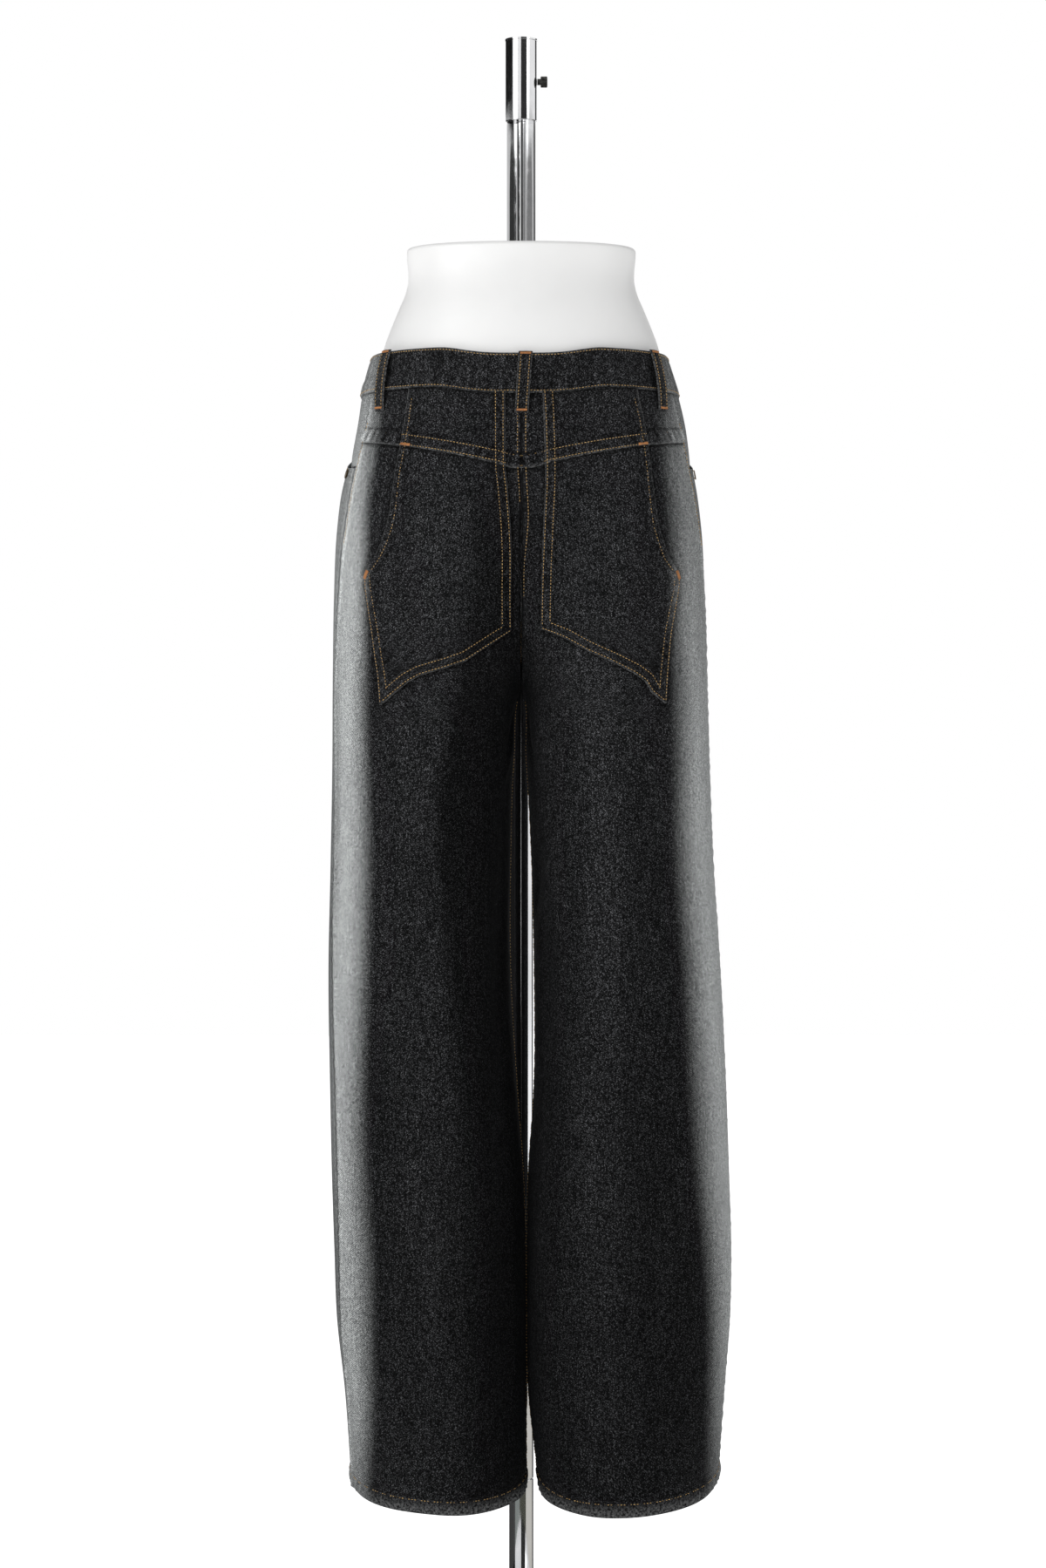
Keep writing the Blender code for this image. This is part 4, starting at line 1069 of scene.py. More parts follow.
def pocket_part(side, name, rows, top, bottom=None):
    """One part of the overlay: rolled edges, a folded band with two rows of stitches, puckers."""
    edge = np.array((0, 0.003, 0.008, 0.016, 0.028))
    share = np.concatenate((edge, np.linspace(0.045, 0.955, 52), 1 - edge[::-1]))
    angles, heights, at_edge = pocket_grid(side, rows, share, top, bottom)
    x = np.abs(surface(side, angles, heights)[..., 0])
    inward = np.where(at_edge, 0, edge_distance(side, x, heights))
    wave = np.sin(heights * 640 + 2 * np.sin(x * 90)) * np.sin(x * 710 + 1.2 * np.sin(heights * 70))
    lift = POCKET_FACE - 0.0012 * (1 - soft_step(inward / 0.0014)) + 0.0009 * pocket_band(inward)
    lift = lift - 0.0005 * bell(inward - 0.0021, 0.0009) - 0.0005 * bell(inward - 0.0090, 0.0011)
    lift = lift + 0.00042 * wave * bell(inward, 0.012)
    outer = surface(side, angles, heights, lift)
    inner = surface(side, angles, heights, POCKET_BED)
    wear = 0.7 * (1 - soft_step(inward / 0.0020))
    # Painted light and shade over the puckers, partly their wear, and a painted shade line along the
    # folded band's inner edge.
    shade = 1 + 0.40 * wave * bell(inward - 0.005, 0.007) - 0.30 * bell(inward - 0.0118, 0.0014)
    if bottom is None:
        shade = shade * yoke_shadow(side, angles, heights)
    else:
        up = heights - yoke_seam(side, angles)
        ripple = np.sin(angles * 86 + up * 160 + 1.6 * np.sin(angles * 11))
        shade = shade * waist_shade(side, angles, heights) * felled_shade(up, ripple)
        wear = np.maximum(wear, 0.85 * (1 - soft_step(up / 0.0022)))
    return shell(name + side, outer, inner, denim, wear=wear, shade=shade)


def back_pocket(side):
    """The overlay in two parts, which meet along the yoke seam."""
    upper = pocket_part(side, "cloth_pocket_upper_", POCKET_TOP_ROWS[side], below_waist_seam, yoke_seam)
    return upper, pocket_part(side, "cloth_pocket_", POCKET_ROWS[side], below_yoke_seam)


def loop_lift(share):
    return BAND_OUT * (1 - share) + 0.0005 + LOOP_BOW * np.sin(math.pi * share) ** 0.8


def loop_line(face, top_x, bottom_x, share):
    """Centre distance and height along a belt loop, 0 at its top."""
    share = np.asarray(share, float)
    centre = top_x * (1 - share) + bottom_x * share
    side = "left" if top_x < 0 else "right"
    top = waist_top(side, angle_at(side, np.abs(centre), WAIST_TOP, face))
    return centre, top + 0.0010 - share * (BAND_HEIGHT + LOOP_BELOW)


def with_normals(points, raised):
    """Points, and the directions from them to the same points raised off the cloth."""
    normals = raised - points
    return points, normals / np.linalg.norm(normals, axis=-1, keepdims=True)


def on_face(x, z, face, out):
    """Points of the back or front, and the cloth's normals there."""
    return with_normals(face_point(x, z, face, out), face_point(x, z, face, out + MILLIMETRE))


def facing_back(x, z, face):
    """How squarely the cloth at points of the back or front faces straight back or forward."""
    outwards = face_point(x, z, face, MILLIMETRE) - face_point(x, z, face, 0.0)
    return np.abs(outwards[..., 1]) / MILLIMETRE


def belt_loop(name, face, top_x, bottom_x):
    """A folded strap over the waistband, tacked at both ends."""
    edge = np.array((0.0, 0.05, 0.12, 0.22))
    across = np.concatenate((edge, np.linspace(0.32, 0.68, 4), 1 - edge[::-1]))
    share = np.concatenate(((0, 0.012, 0.03), np.linspace(0.06, 0.94, 34), (0.97, 0.988, 1.0)))
    centre, z = loop_line(face, top_x, bottom_x, share)
    offset = (across - 0.5) * LOOP_WIDTH
    side_edge = np.minimum(across, 1 - across) * LOOP_WIDTH
    round_off = 0.0009 * (1 - soft_step(side_edge / 0.0013))
    grooves = 0.0003 * bell(side_edge - 0.0024, 0.0008)
    ends = np.minimum(share, 1 - share)
    round_end = 0.0006 * (1 - soft_step(ends / 0.025))
    lift = loop_lift(share)[:, None] + LOOP_SHELL - round_off - grooves - round_end[:, None]
    x = centre[:, None] + offset * facing_back(centre, z, face)[:, None]
    outer = face_point(x, z[:, None], face, lift)
    inner = face_point(x, z[:, None], face, loop_lift(share)[:, None])
    wear = 0.8 * (1 - soft_step(side_edge / 0.0018))
    return shell("cloth_" + name, outer, inner, denim, wear=wear, fade=fade_at(outer) * 0.15)


class Thread:
    """Stitches gathered into one mesh: short bars of thread that dip into the cloth at both ends."""

    def __init__(self):
        self.verts, self.faces, self.count = [], [], 0

    def bars(self, starts, ends, normals, radius):
        """Adds a bar for each start and end point, lifted along its normal."""
        run = ends - starts
        tangent = run / np.linalg.norm(run, axis=-1, keepdims=True)
        side = np.cross(normals, tangent)
        side /= np.linalg.norm(side, axis=-1, keepdims=True)
        up = np.cross(tangent, side)
        turns = np.linspace(0, 2 * math.pi, STITCH_SIDES, endpoint=False)
        rings = []
        for share, size, rise in ((0, 0.45, -0.7), (0.2, 1.0, 0.35), (0.8, 1.0, 0.35), (1, 0.45, -0.7)):
            centre = starts + run * share + up * radius * rise
            for turn in turns:
                rings.append(centre + radius * size * (side * math.cos(turn) + up * math.sin(turn)))
        verts = np.stack(rings, axis=1)
        template = []
        for r in range(3):
            for s in range(STITCH_SIDES):
                t = (s + 1) % STITCH_SIDES
                a, b = r * STITCH_SIDES, (r + 1) * STITCH_SIDES
                template.append((a + s, a + t, b + t, b + s))
        template = np.array(template)
        step = verts.shape[1]
        offsets = (np.arange(len(verts)) * step)[:, None, None] + self.count
        self.faces.append((template[None] + offsets).reshape(-1, 4))
        self.verts.append(verts.reshape(-1, 3))
        self.count += verts.shape[0] * step

    def row(self, points, normals, radius=THREAD_RADIUS, pitch=STITCH_PITCH):
        """Adds a row of stitches along a line of points."""
        gaps = np.linalg.norm(np.diff(points, axis=0), axis=-1)
        run = np.concatenate(((0,), np.cumsum(gaps)))
        total = int(run[-1] / pitch)
        if total < 1:
            return
        first = np.arange(total) * pitch
        last = first + STITCH_LENGTH * pitch / STITCH_PITCH

        def at(where, values):
            return np.stack([np.interp(where, run, values[:, k]) for k in range(3)], axis=-1)

        self.bars(at(first, points), at(last, points), at(first, normals), radius)

    def make(self, name, material):
        mesh = bpy.data.meshes.new(name)
        fill(mesh, np.concatenate(self.verts), np.concatenate(self.faces))
        return link(name, mesh, material)


def on_line(side, angle, z, out):
    """Points along a line on the cloth, and the cloth's normals there."""
    return with_normals(surface(side, angle, z, out), surface(side, angle, z, out + MILLIMETRE))


def back_line(side, x, z, extra=0.0002):
    """The same for a line given by its distance from the centre plane, over the pockets too."""
    x, z = np.asarray(x, float), np.asarray(z, float)
    angle = angle_at(side, x, z, "back")
    return on_line(side, angle, z, layer_top(side, x, z) + extra)


def shortened(side, line, distance):
    """A distance over the cloth as it shows from behind, at the points of a line."""
    angle = angle_at(side, line[:, 0], line[:, 1], "back")
    return distance * np.clip(np.abs(np.sin(angle)) ** 1.4, 0.45, 1)


def inset(side, line, distance):
    """A line of distance and height moved in from the pocket's outline, to its own left."""
    run = np.gradient(line, axis=0)
    run /= np.linalg.norm(run, axis=-1, keepdims=True)
    across = shortened(side, line, distance)
    return np.stack((line[:, 0] - run[:, 1] * across, line[:, 1] + run[:, 0] * distance), axis=-1)


def dense(line, pitch=0.0015):
    """The same line with points at an even pitch."""
    run = np.concatenate(((0,), np.cumsum(np.linalg.norm(np.diff(line, axis=0), axis=-1))))
    where = np.arange(0, run[-1], pitch)
    return np.stack([np.interp(where, run, line[:, k]) for k in range(2)], axis=-1)


def tack(thread, points, normals, width=0.0020):
    """A bartack: tight threads across a short line."""
    count = max(6, int(np.linalg.norm(points[-1] - points[0]) / 0.00055))
    where = np.linspace(0, len(points) - 1, count)
    index = np.arange(len(points))
    centre = np.stack([np.interp(where, index, points[:, k]) for k in range(3)], axis=-1)
    normal = np.stack([np.interp(where, index, normals[:, k]) for k in range(3)], axis=-1)
    run = points[-1] - points[0]
    side = np.cross(normal, run / np.linalg.norm(run))
    side /= np.linalg.norm(side, axis=-1, keepdims=True)
    lean = run / np.linalg.norm(run) * 0.00025
    lifted = centre + normal * 0.0002
    thread.bars(lifted - side * width / 2, lifted + side * width / 2 + lean, normal, TACK_RADIUS)


def stitch_pockets(side, thread, tacks):
    """Two rows inside the pocket's closed edges, one along its opening, and its two tacks."""
    rows = np.array(POCKET_TOP_ROWS[side][:2] + POCKET_ROWS[side])
    corner, hip = POCKET_CORNER + 2, POCKET_HIP + 2
    inner_edge = rows[:, [1, 0]]
    outer_edge = rows[:, [2, 0]]
    for gap in (0.0020, 0.0088):
        down = dense(inner_edge[: corner + 1]) + np.array((gap, 0))
        down = down[beyond(down, inner_edge[corner:]) > gap * 0.97]
        up = dense(outer_edge[hip:][::-1])
        up = np.stack((up[:, 0] - shortened(side, up, gap), up[:, 1]), axis=-1)
        up = up[beyond(up, inner_edge[corner:]) > gap * 0.80]
        across = inset(side, dense(inner_edge[corner:]), gap)
        inwards = beyond(across, inner_edge[: corner + 1]) > gap * 0.97
        across = across[inwards & (beyond(across, outer_edge[hip:]) > gap * 0.62)]
        for line in (down, across, up):
            if len(line) > 3:
                thread.row(*back_line(side, line[:, 0], line[:, 1]))
    mouth = dense(outer_edge[: hip + 1])
    mouth = np.stack((mouth[:, 0] - shortened(side, mouth, 0.0085), mouth[:, 1] - 0.002), axis=-1)
    top = yoke_seam(side, angle_at(side, 0.108, 1.13, "back")) + 0.045
    mouth = mouth[mouth[:, 1] < top]
    thread.row(*back_line(side, mouth[:, 0], mouth[:, 1]))
    hip_x, hip_z = outer_edge[hip]
    x = np.linspace(hip_x - 0.004, hip_x - 0.0015, 12)
    z = np.linspace(hip_z + 0.001, hip_z - 0.006, 12)
    tack(tacks, *back_line(side, x, z), width=0.0040)
    x = np.linspace(outer_edge[2, 0] - 0.010, outer_edge[2, 0] - 0.002, 12)
    z = yoke_seam(side, angle_at(side, x, 1.13, "back")) + 0.0015
    tack(tacks, *back_line(side, x, z), width=0.0026)


def stitch_back(side, thread, tacks):
    """Yoke, centre-back, pocket, inseam and outseam rows of one half's back."""
    for rise in (0.0020, 0.0112):
        x = np.linspace(0.0003, 0.1445, 200)
        z = yoke_seam(side, angle_at(side, x, 1.12, "back")) + rise
        thread.row(*back_line(side, x, z))
    if side == "left":
        heights = np.linspace(1.178, 1.075, 100)
        x = 0.0034 - 0.0022 * soft_step((1.12 - heights) / 0.05)
    else:
        heights = np.linspace(1.178, 0.990, 200)
        x = 0.0040 + 0.0026 * soft_step((1.12 - heights) / 0.06)
        x = x - 0.0040 * soft_step((1.07 - heights) / 0.06)
    thread.row(*back_line(side, x, heights))
    stitch_pockets(side, thread, tacks)
    heights = np.linspace(CROTCH - 0.012, hem(side, -3.0) + 0.016, 700)
    angle = -(math.pi - 0.0045 / oval(side, heights)[1])
    thread.row(*on_line(side, angle, heights, 0.0004))
    heights = np.linspace(1.155, 1.04, 100)
    angle = seam_angle(side, heights, 0) - 0.0050 / oval(side, heights)[1]
    thread.row(*on_line(side, angle, heights, 0.0006))


def stitch_front(side, thread, tacks):
    """Pocket mouths, centre front and fly of one half's front."""
    for gap in (0.0020, 0.0085):
        z = np.linspace(MOUTH_LOW + 0.001, WAIST_TOP - BAND_HEIGHT - 0.013, 160)
        angle = mouth_angle(side, z) + gap / oval(side, z)[1]
        z = z - gap * (1 - soft_step((z - MOUTH_LOW) / 0.05))
        thread.row(*on_line(side, angle, z, THREAD_LIFT))
    heights = np.linspace(1.158, 0.925, 240)
    if side == "right":
        angle = inner_angle(side, heights) - 0.0025 / CHART_RADIUS
        thread.row(*on_line(side, angle, heights, THREAD_LIFT))
        return
    for gap, start in ((0.0022, 0), (0.0088, 150)):
        z = heights[start:]
        thread.row(*on_line(side, inner_angle(side, z) - gap / CHART_RADIUS, z, THREAD_LIFT))
    down = np.linspace(0, 1, 150)
    z = 1.160 - 0.135 * down
    for gap in (0.036, 0.042):
        pull = gap * np.sqrt(np.clip(1 - np.clip((down - 0.68) / 0.32, 0, 1) ** 2.2, 0, 1))
        angle = inner_angle(side, z) - np.maximum(pull, 0.002) / CHART_RADIUS
        thread.row(*on_line(side, angle, z, THREAD_LIFT))
    low = np.linspace(1.031, 1.024, 10)
    tack(tacks, *on_line(side, inner_angle(side, low) - 0.006 / CHART_RADIUS, low, THREAD_LIFT))


def stitch_hem(side, thread):
    turn = np.linspace(-math.pi + 0.01, math.pi - 0.01, 900)
    z = hem(side, turn) + HEM_TURN * 0.94
    thread.row(*on_line(side, turn, z, 0.0001))


def stitch_band(thread):
    """The rows along the waistband's edges, which end on the right where the left end laps."""
    for down in (0.055, 0.945):
        for side in SIGN:
            reach = inner_angle(side, WAIST_TOP)
            turn = np.linspace(-reach + 0.002, reach - 0.002, 500)
            lap = band_lap((turn + reach) / (2 * reach))
            if side == "right":
                turn = turn[turn < reach * 0.86]
                lap = 0.0
            z = waist_top(side, turn) - BAND_HEIGHT * down
            lift = BAND_OUT + lap + band_lift(side, turn, down) + 0.0001
            thread.row(*on_line(side, turn, z, lift))


def stitch_loops(thread, tacks):
    """Two rows along each belt loop, and a tack across each of its ends."""
    share = np.linspace(0.02, 0.98, 60)
    for _, face, top_x, bottom_x in LOOP_ROWS:
        centre, z = loop_line(face, top_x, bottom_x, share)
        turned_by = facing_back(centre, z, face)
        for offset in (-0.0040, 0.0040):
            x = centre + offset * turned_by
            thread.row(*on_face(x, z, face, loop_lift(share) + LOOP_SHELL))
        for at in (0.035, 0.955):
            middle, z_at = loop_line(face, top_x, bottom_x, np.full(10, at))
            x = middle + np.linspace(-0.0046, 0.0046, 10) * facing_back(middle, z_at, face)
            tack(tacks, *on_face(x, z_at, face, loop_lift(at) + LOOP_SHELL), width=0.0022)


def node(tree, kind, label="", **settings):
    item = tree.nodes.new(kind)
    item.label = label
    for key, value in settings.items():
        if key in item.inputs:
            item.inputs[key].default_value = value
        else:
            setattr(item, key, value)
    return item


def blank(name):
    """A new material with its shader."""
    material = bpy.data.materials.new(name)
    material.use_nodes = True
    return material, material.node_tree, material.node_tree.nodes["Principled BSDF"]


def settle(item, values):
    """Sets the plain numbers and colours of a node's sockets."""
    for key, value in values.items():
        item.inputs[key].default_value = value


def object_place(tree):
    return node(tree, "ShaderNodeTexCoord").outputs["Object"]


def emboss(tree, surface_node, height, strength, distance):
    """A bump under a shader or under another bump."""
    item = node(tree, "ShaderNodeBump", Strength=strength, Distance=distance)
    tree.links.new(height, item.inputs["Height"])
    tree.links.new(item.outputs["Normal"], surface_node.inputs["Normal"])
    return item


def ramp(tree, source, *stops):
    """The colours or grey levels of the stops, each at its place."""
    item = tree.nodes.new("ShaderNodeValToRGB")
    while len(item.color_ramp.elements) < len(stops):
        item.color_ramp.elements.new(0.5)
    for element, (place, colour) in zip(item.color_ramp.elements, stops):
        element.position = place
        element.color = (*colour, 1) if isinstance(colour, tuple) else (colour, colour, colour, 1)
    tree.links.new(source, item.inputs["Fac"])
    return item.outputs["Color"]


def maths(tree, operation, first, second=None, clamp=False):
    item = tree.nodes.new("ShaderNodeMath")
    item.operation = operation
    item.use_clamp = clamp
    for socket, value in zip(item.inputs, (first, second)):
        if value is None:
            continue
        if isinstance(value, (int, float)):
            socket.default_value = value
        else:
            tree.links.new(value, socket)
    return item.outputs["Value"]


def blend_colour(tree, kind, share, first, second):
    item = tree.nodes.new("ShaderNodeMix")
    item.data_type = "RGBA"
    item.blend_type = kind
    for socket, value in ((item.inputs[0], share), (item.inputs[6], first), (item.inputs[7], second)):
        if isinstance(value, tuple):
            socket.default_value = (*value, 1)
        elif isinstance(value, float):
            socket.default_value = value
        else:
            tree.links.new(value, socket)
    return item.outputs[2]


def noise(tree, vector, scale, detail=2.0, roughness=0.5):
    item = node(tree, "ShaderNodeTexNoise", Scale=scale, Detail=detail, Roughness=roughness)
    tree.links.new(vector, item.inputs["Vector"])
    return item.outputs["Fac"]


def mapped(tree, vector, scale, turn=0.0):
    item = tree.nodes.new("ShaderNodeMapping")
    item.inputs["Scale"].default_value = scale
    item.inputs["Rotation"].default_value = (0, 0, turn)
    tree.links.new(vector, item.inputs["Vector"])
    return item.outputs["Vector"]


def scaled(tree, colour, amount):
    """A colour multiplied by a plain number from a texture or attribute."""
    item = tree.nodes.new("ShaderNodeVectorMath")
    item.operation = "SCALE"
    tree.links.new(colour, item.inputs[0])
    tree.links.new(amount, item.inputs["Scale"])
    return item.outputs["Vector"]


def denim_material():
    """Washed black twill: slubby speckle, fine diagonal ribs, bleached sides and worn edges, with painted
    shade and painted highlights laid on from the cloth's attributes.
    """
    material, tree, shader = blank("denim")
    chart = node(tree, "ShaderNodeUVMap", uv_map="weave").outputs["UV"]
    fade, wear, wash_and_painted_light, shade = (
        node(tree, "ShaderNodeAttribute", attribute_name=name).outputs["Fac"]
        for name in ("fade", "wear", "wash_and_painted_light", "shade")
    )
    floor = node(tree, "ShaderNodeVectorMath", operation="FLOOR")
    tree.links.new(mapped(tree, chart, (1500.0, 1250.0, 1.0), math.radians(-32)), floor.inputs[0])
    cell = node(tree, "ShaderNodeTexWhiteNoise")
    tree.links.new(floor.outputs["Vector"], cell.inputs["Vector"])
    speckle = cell.outputs["Value"]
    slub = noise(tree, mapped(tree, chart, (1.0, 0.07, 1.0)), 620, 3.0, 0.6)
    cloudy = noise(tree, mapped(tree, chart, (1.0, 0.25, 1.0)), 30, 3.0, 0.6)
    streak = noise(tree, mapped(tree, chart, (1.0, 0.06, 1.0)), 60, 2.0, 0.5)
    wave = node(tree, "ShaderNodeTexWave", Scale=190, Distortion=1.2, Detail=1.0)
    wave.inputs["Detail Scale"].default_value = 1.5
    tree.links.new(mapped(tree, chart, (1.0, 1.0, 1.0), math.radians(-58)), wave.inputs["Vector"])
    twill = wave.outputs["Fac"]
    slubby, speckled = (
        maths(tree, "MULTIPLY", maths(tree, "SUBTRACT", texture, 0.5), strength)
        for texture, strength in ((slub, 0.45), (speckle, 0.6))
    )
    edge = maths(tree, "MULTIPLY", fade, maths(tree, "SUBTRACT", 1.25, fade))
    ragged = maths(tree, "MULTIPLY", edge, maths(tree, "ADD", slubby, speckled))
    amount = maths(tree, "ADD", fade, ragged, clamp=True)
    dark = ramp(tree, streak, (0.25, (0.0195, 0.0200, 0.0212)), (0.75, (0.0275, 0.0280, 0.0295)))
    dark = blend_colour(tree, "MULTIPLY", 0.8, dark, ramp(tree, cloudy, (0.3, 0.78), (0.7, 1.20)))
    # Painted shade on the inner thighs and a painted highlight streak, partly the wash's own darker and
    # lighter bands.
    dark = scaled(tree, dark, wash_and_painted_light)
    fibres = ramp(tree, speckle, (0.0, 0.02), (0.55, 0.08), (0.85, 0.35), (1.0, 1.0))
    dark = scaled(tree, dark, maths(tree, "MULTIPLY", fibres, 4.8))
    dark = blend_colour(tree, "MULTIPLY", 0.9, dark, ramp(tree, slub, (0.3, 0.45), (0.7, 1.6)))
    pale = ramp(tree, cloudy, (0.25, (0.35, 0.36, 0.36)), (0.75, (0.42, 0.435, 0.43)))
    threads = ramp(tree, speckle, (0.0, (0.40, 0.41, 0.43)), (0.5, 0.95), (1.0, 1.5))
    pale = blend_colour(tree, "MULTIPLY", 0.9, pale, threads)
    pale = blend_colour(tree, "MULTIPLY", 0.7, pale, ramp(tree, slub, (0.3, 0.78), (0.7, 1.22)))
    # Painted shade, shadows and highlights along seams, under edges and over puckers, partly their wear.
    colour = scaled(tree, blend_colour(tree, "MIX", amount, dark, pale), shade)
    ribs = ramp(tree, twill, (0.2, 0.70), (0.8, 1.30))
    colour = blend_colour(tree, "MULTIPLY", 0.8, colour, ribs)
    rubbed = ramp(tree, noise(tree, chart, 420, 3.0, 0.65), (0.40, 0.0), (0.62, 1.0))
    rub = maths(tree, "MULTIPLY", maths(tree, "MULTIPLY", wear, rubbed), 0.85)
    colour = blend_colour(tree, "MIX", rub, colour, (0.150, 0.153, 0.153))
    tree.links.new(colour, shader.inputs["Base Color"])
    settle(shader, {"Roughness": 0.92, "Specular IOR Level": 0.05, "Sheen Weight": 0.02})
    settle(shader, {"Sheen Roughness": 0.45, "Sheen Tint": (0.75, 0.78, 0.82, 1)})
    slack = noise(tree, mapped(tree, chart, (1.0, 0.6, 1.0)), 42, 2.0, 0.5)
    soft = emboss(tree, shader, slack, 0.5, 0.0030)
    rough, ribbed = maths(tree, "MULTIPLY", speckle, 0.6), maths(tree, "MULTIPLY", twill, 0.4)
    emboss(tree, soft, maths(tree, "ADD", rough, ribbed), 0.5, 0.0003)
    return material


def mottled(tree, shader, socket, scale, low, high, detail=2.0, roughness=0.5):
    """A socket that varies between two colours or levels over the object."""
    texture = noise(tree, object_place(tree), scale, detail, roughness)
    tree.links.new(ramp(tree, texture, (0.3, low), (0.7, high)), shader.inputs[socket])


def thread_material(name, low, high):
    """Twisted sewing thread, duller in places."""
    material, tree, shader = blank(name)
    mottled(tree, shader, "Base Color", 240, low, high, roughness=0.6)
    settle(shader, {"Roughness": 0.6})
    emboss(tree, shader, noise(tree, object_place(tree), 2600), 0.4, 0.0002)
    return material


def form_material():
    """Satin white moulding with a faint unevenness."""
    material, tree, shader = blank("form_white")
    mottled(tree, shader, "Base Color", 14, (0.80, 0.80, 0.795), (0.84, 0.84, 0.835), detail=3.0)
    mottled(tree, shader, "Roughness", 60, 0.36, 0.46)
    emboss(tree, shader, noise(tree, object_place(tree), 90), 0.08, 0.001)
    return material


def metal_material(name, low, high, rough_low, rough_high, scale):
    """Bare metal, a little uneven in colour and polish."""
    material, tree, shader = blank(name)
    mottled(tree, shader, "Base Color", scale, low, high, detail=3.0)
    mottled(tree, shader, "Roughness", scale * 2.5, rough_low, rough_high)
    settle(shader, {"Metallic": 1.0})
    return material


def emitter(name, colour, strength):
    material, _, shader = blank(name)
    settle(shader, {"Base Color": (0, 0, 0, 1), "Roughness": 1.0})
    settle(shader, {"Emission Color": (*colour, 1), "Emission Strength": strength})
    return material


def mesh_of(name, bm):
    """Ends the building of a mesh."""
    mesh = bpy.data.meshes.new(name)
    bm.to_mesh(mesh)
    bm.free()
    return mesh


def lofted(name, rings):
    """A closed mesh through rings of points, flat at both ends."""
    bm = bmesh.new()
    loops = [[bm.verts.new(point) for point in ring_points] for ring_points in rings]
    for lower, upper in zip(loops, loops[1:]):
        for i in range(len(lower)):
            j = (i + 1) % len(lower)
            bm.faces.new((lower[i], lower[j], upper[j], upper[i]))
    bm.faces.new(loops[0][::-1])
    bm.faces.new(loops[-1])
    bmesh.ops.recalc_face_normals(bm, faces=bm.faces)
    return mesh_of(name, bm)


def turned(
    name, node_name, profile, material, at=(0, 0, 0), turn=None, segments=96, ridges=False
):
    """A turned piece from a list of radius and height, bottom to top, in place of a solid. With
    ridges, its widest rows are knurled."""
    widest = max(radius for radius, _ in profile)
    placing = Matrix.Translation(at) @ (turn or Matrix())
    rings = []
    for radius, z in profile:
        knurl = KNURL if ridges and radius > widest * 0.97 else 0.0
        ring_points = []
        for i in range(segments):
            angle = 2 * math.pi * i / segments
            r = radius - knurl * (i % 2)
            ring_points.append(placing @ Vector((r * math.cos(angle), r * math.sin(angle), z)))
        rings.append(ring_points)
    mesh = lofted(name, rings)
    item = link(name, mesh, material)
    mesh.set_sharp_from_angle(angle=SHARP_ANGLE)
    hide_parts(node_name)


def on_cloth(name, side, angle, z, lift, profile, segments=48):
    """A small turned piece with its axis along the cloth's normal."""
    point = Vector(surface(side, angle, z, lift, fine=False))
    normal = (Vector(surface(side, angle, z, lift + 0.003, fine=False)) - point).normalized()
    turn = Vector((0, 0, 1)).rotation_difference(normal).to_matrix().to_4x4()
    turned("metal_" + name, name, profile, brass, point, turn, segments)


def domed(radius, height, shank, rim=0.12, dip=0.25):
    """The outline of a stamped rivet or button: shank, flange, rolled rim and a sunk dome."""
    rows = [(radius * shank, 0.0), (radius * shank, height * 0.35), (radius * 0.92, height * 0.38)]
    rows += [(radius, height * 0.52), (radius, height * 0.72), (radius * (1 - rim * 0.4), height * 0.90)]
    rows += [(radius * (1 - rim), height * 0.96), (radius * (1 - 1.6 * rim), height * (1 - dip))]
    rows += [(radius * 0.62, height * (1 - dip)), (radius * 0.45, height * 0.88)]
    return rows + [(radius * 0.25, height * 0.97), (radius * 0.05, height)]


def small_metal():
    """The waistband's button and the rivets at the pocket mouths' ends."""
    button_angle = float(angle_at("right", BUTTON_X, WAIST_TOP, "front"))
    button_z = float(waist_top("right", button_angle)) - BAND_HEIGHT / 2
    lift = BAND_OUT + LAP + 0.0006
    on_cloth("waist_button", "right", button_angle, button_z, lift, domed(0.0085, 0.0030, 0.5), 64)
    for side in ("left", "right"):
        low_z = MOUTH_LOW - 0.0045
        low_angle = float(seam_angle(side, low_z, 0)) + math.radians(10)
        high_angle = MOUTH_TOP_ANGLE + math.radians(4)
        high_z = float(waist_seam(side, high_angle)) - 0.0080
        profile = domed(0.0045, 0.0012, 1.0, rim=0.2, dip=0.35)
        on_cloth("rivet_side_" + side, side, low_angle, low_z, 0.0006, profile)
        on_cloth("rivet_front_" + side, side, high_angle, high_z, 0.0006, profile)


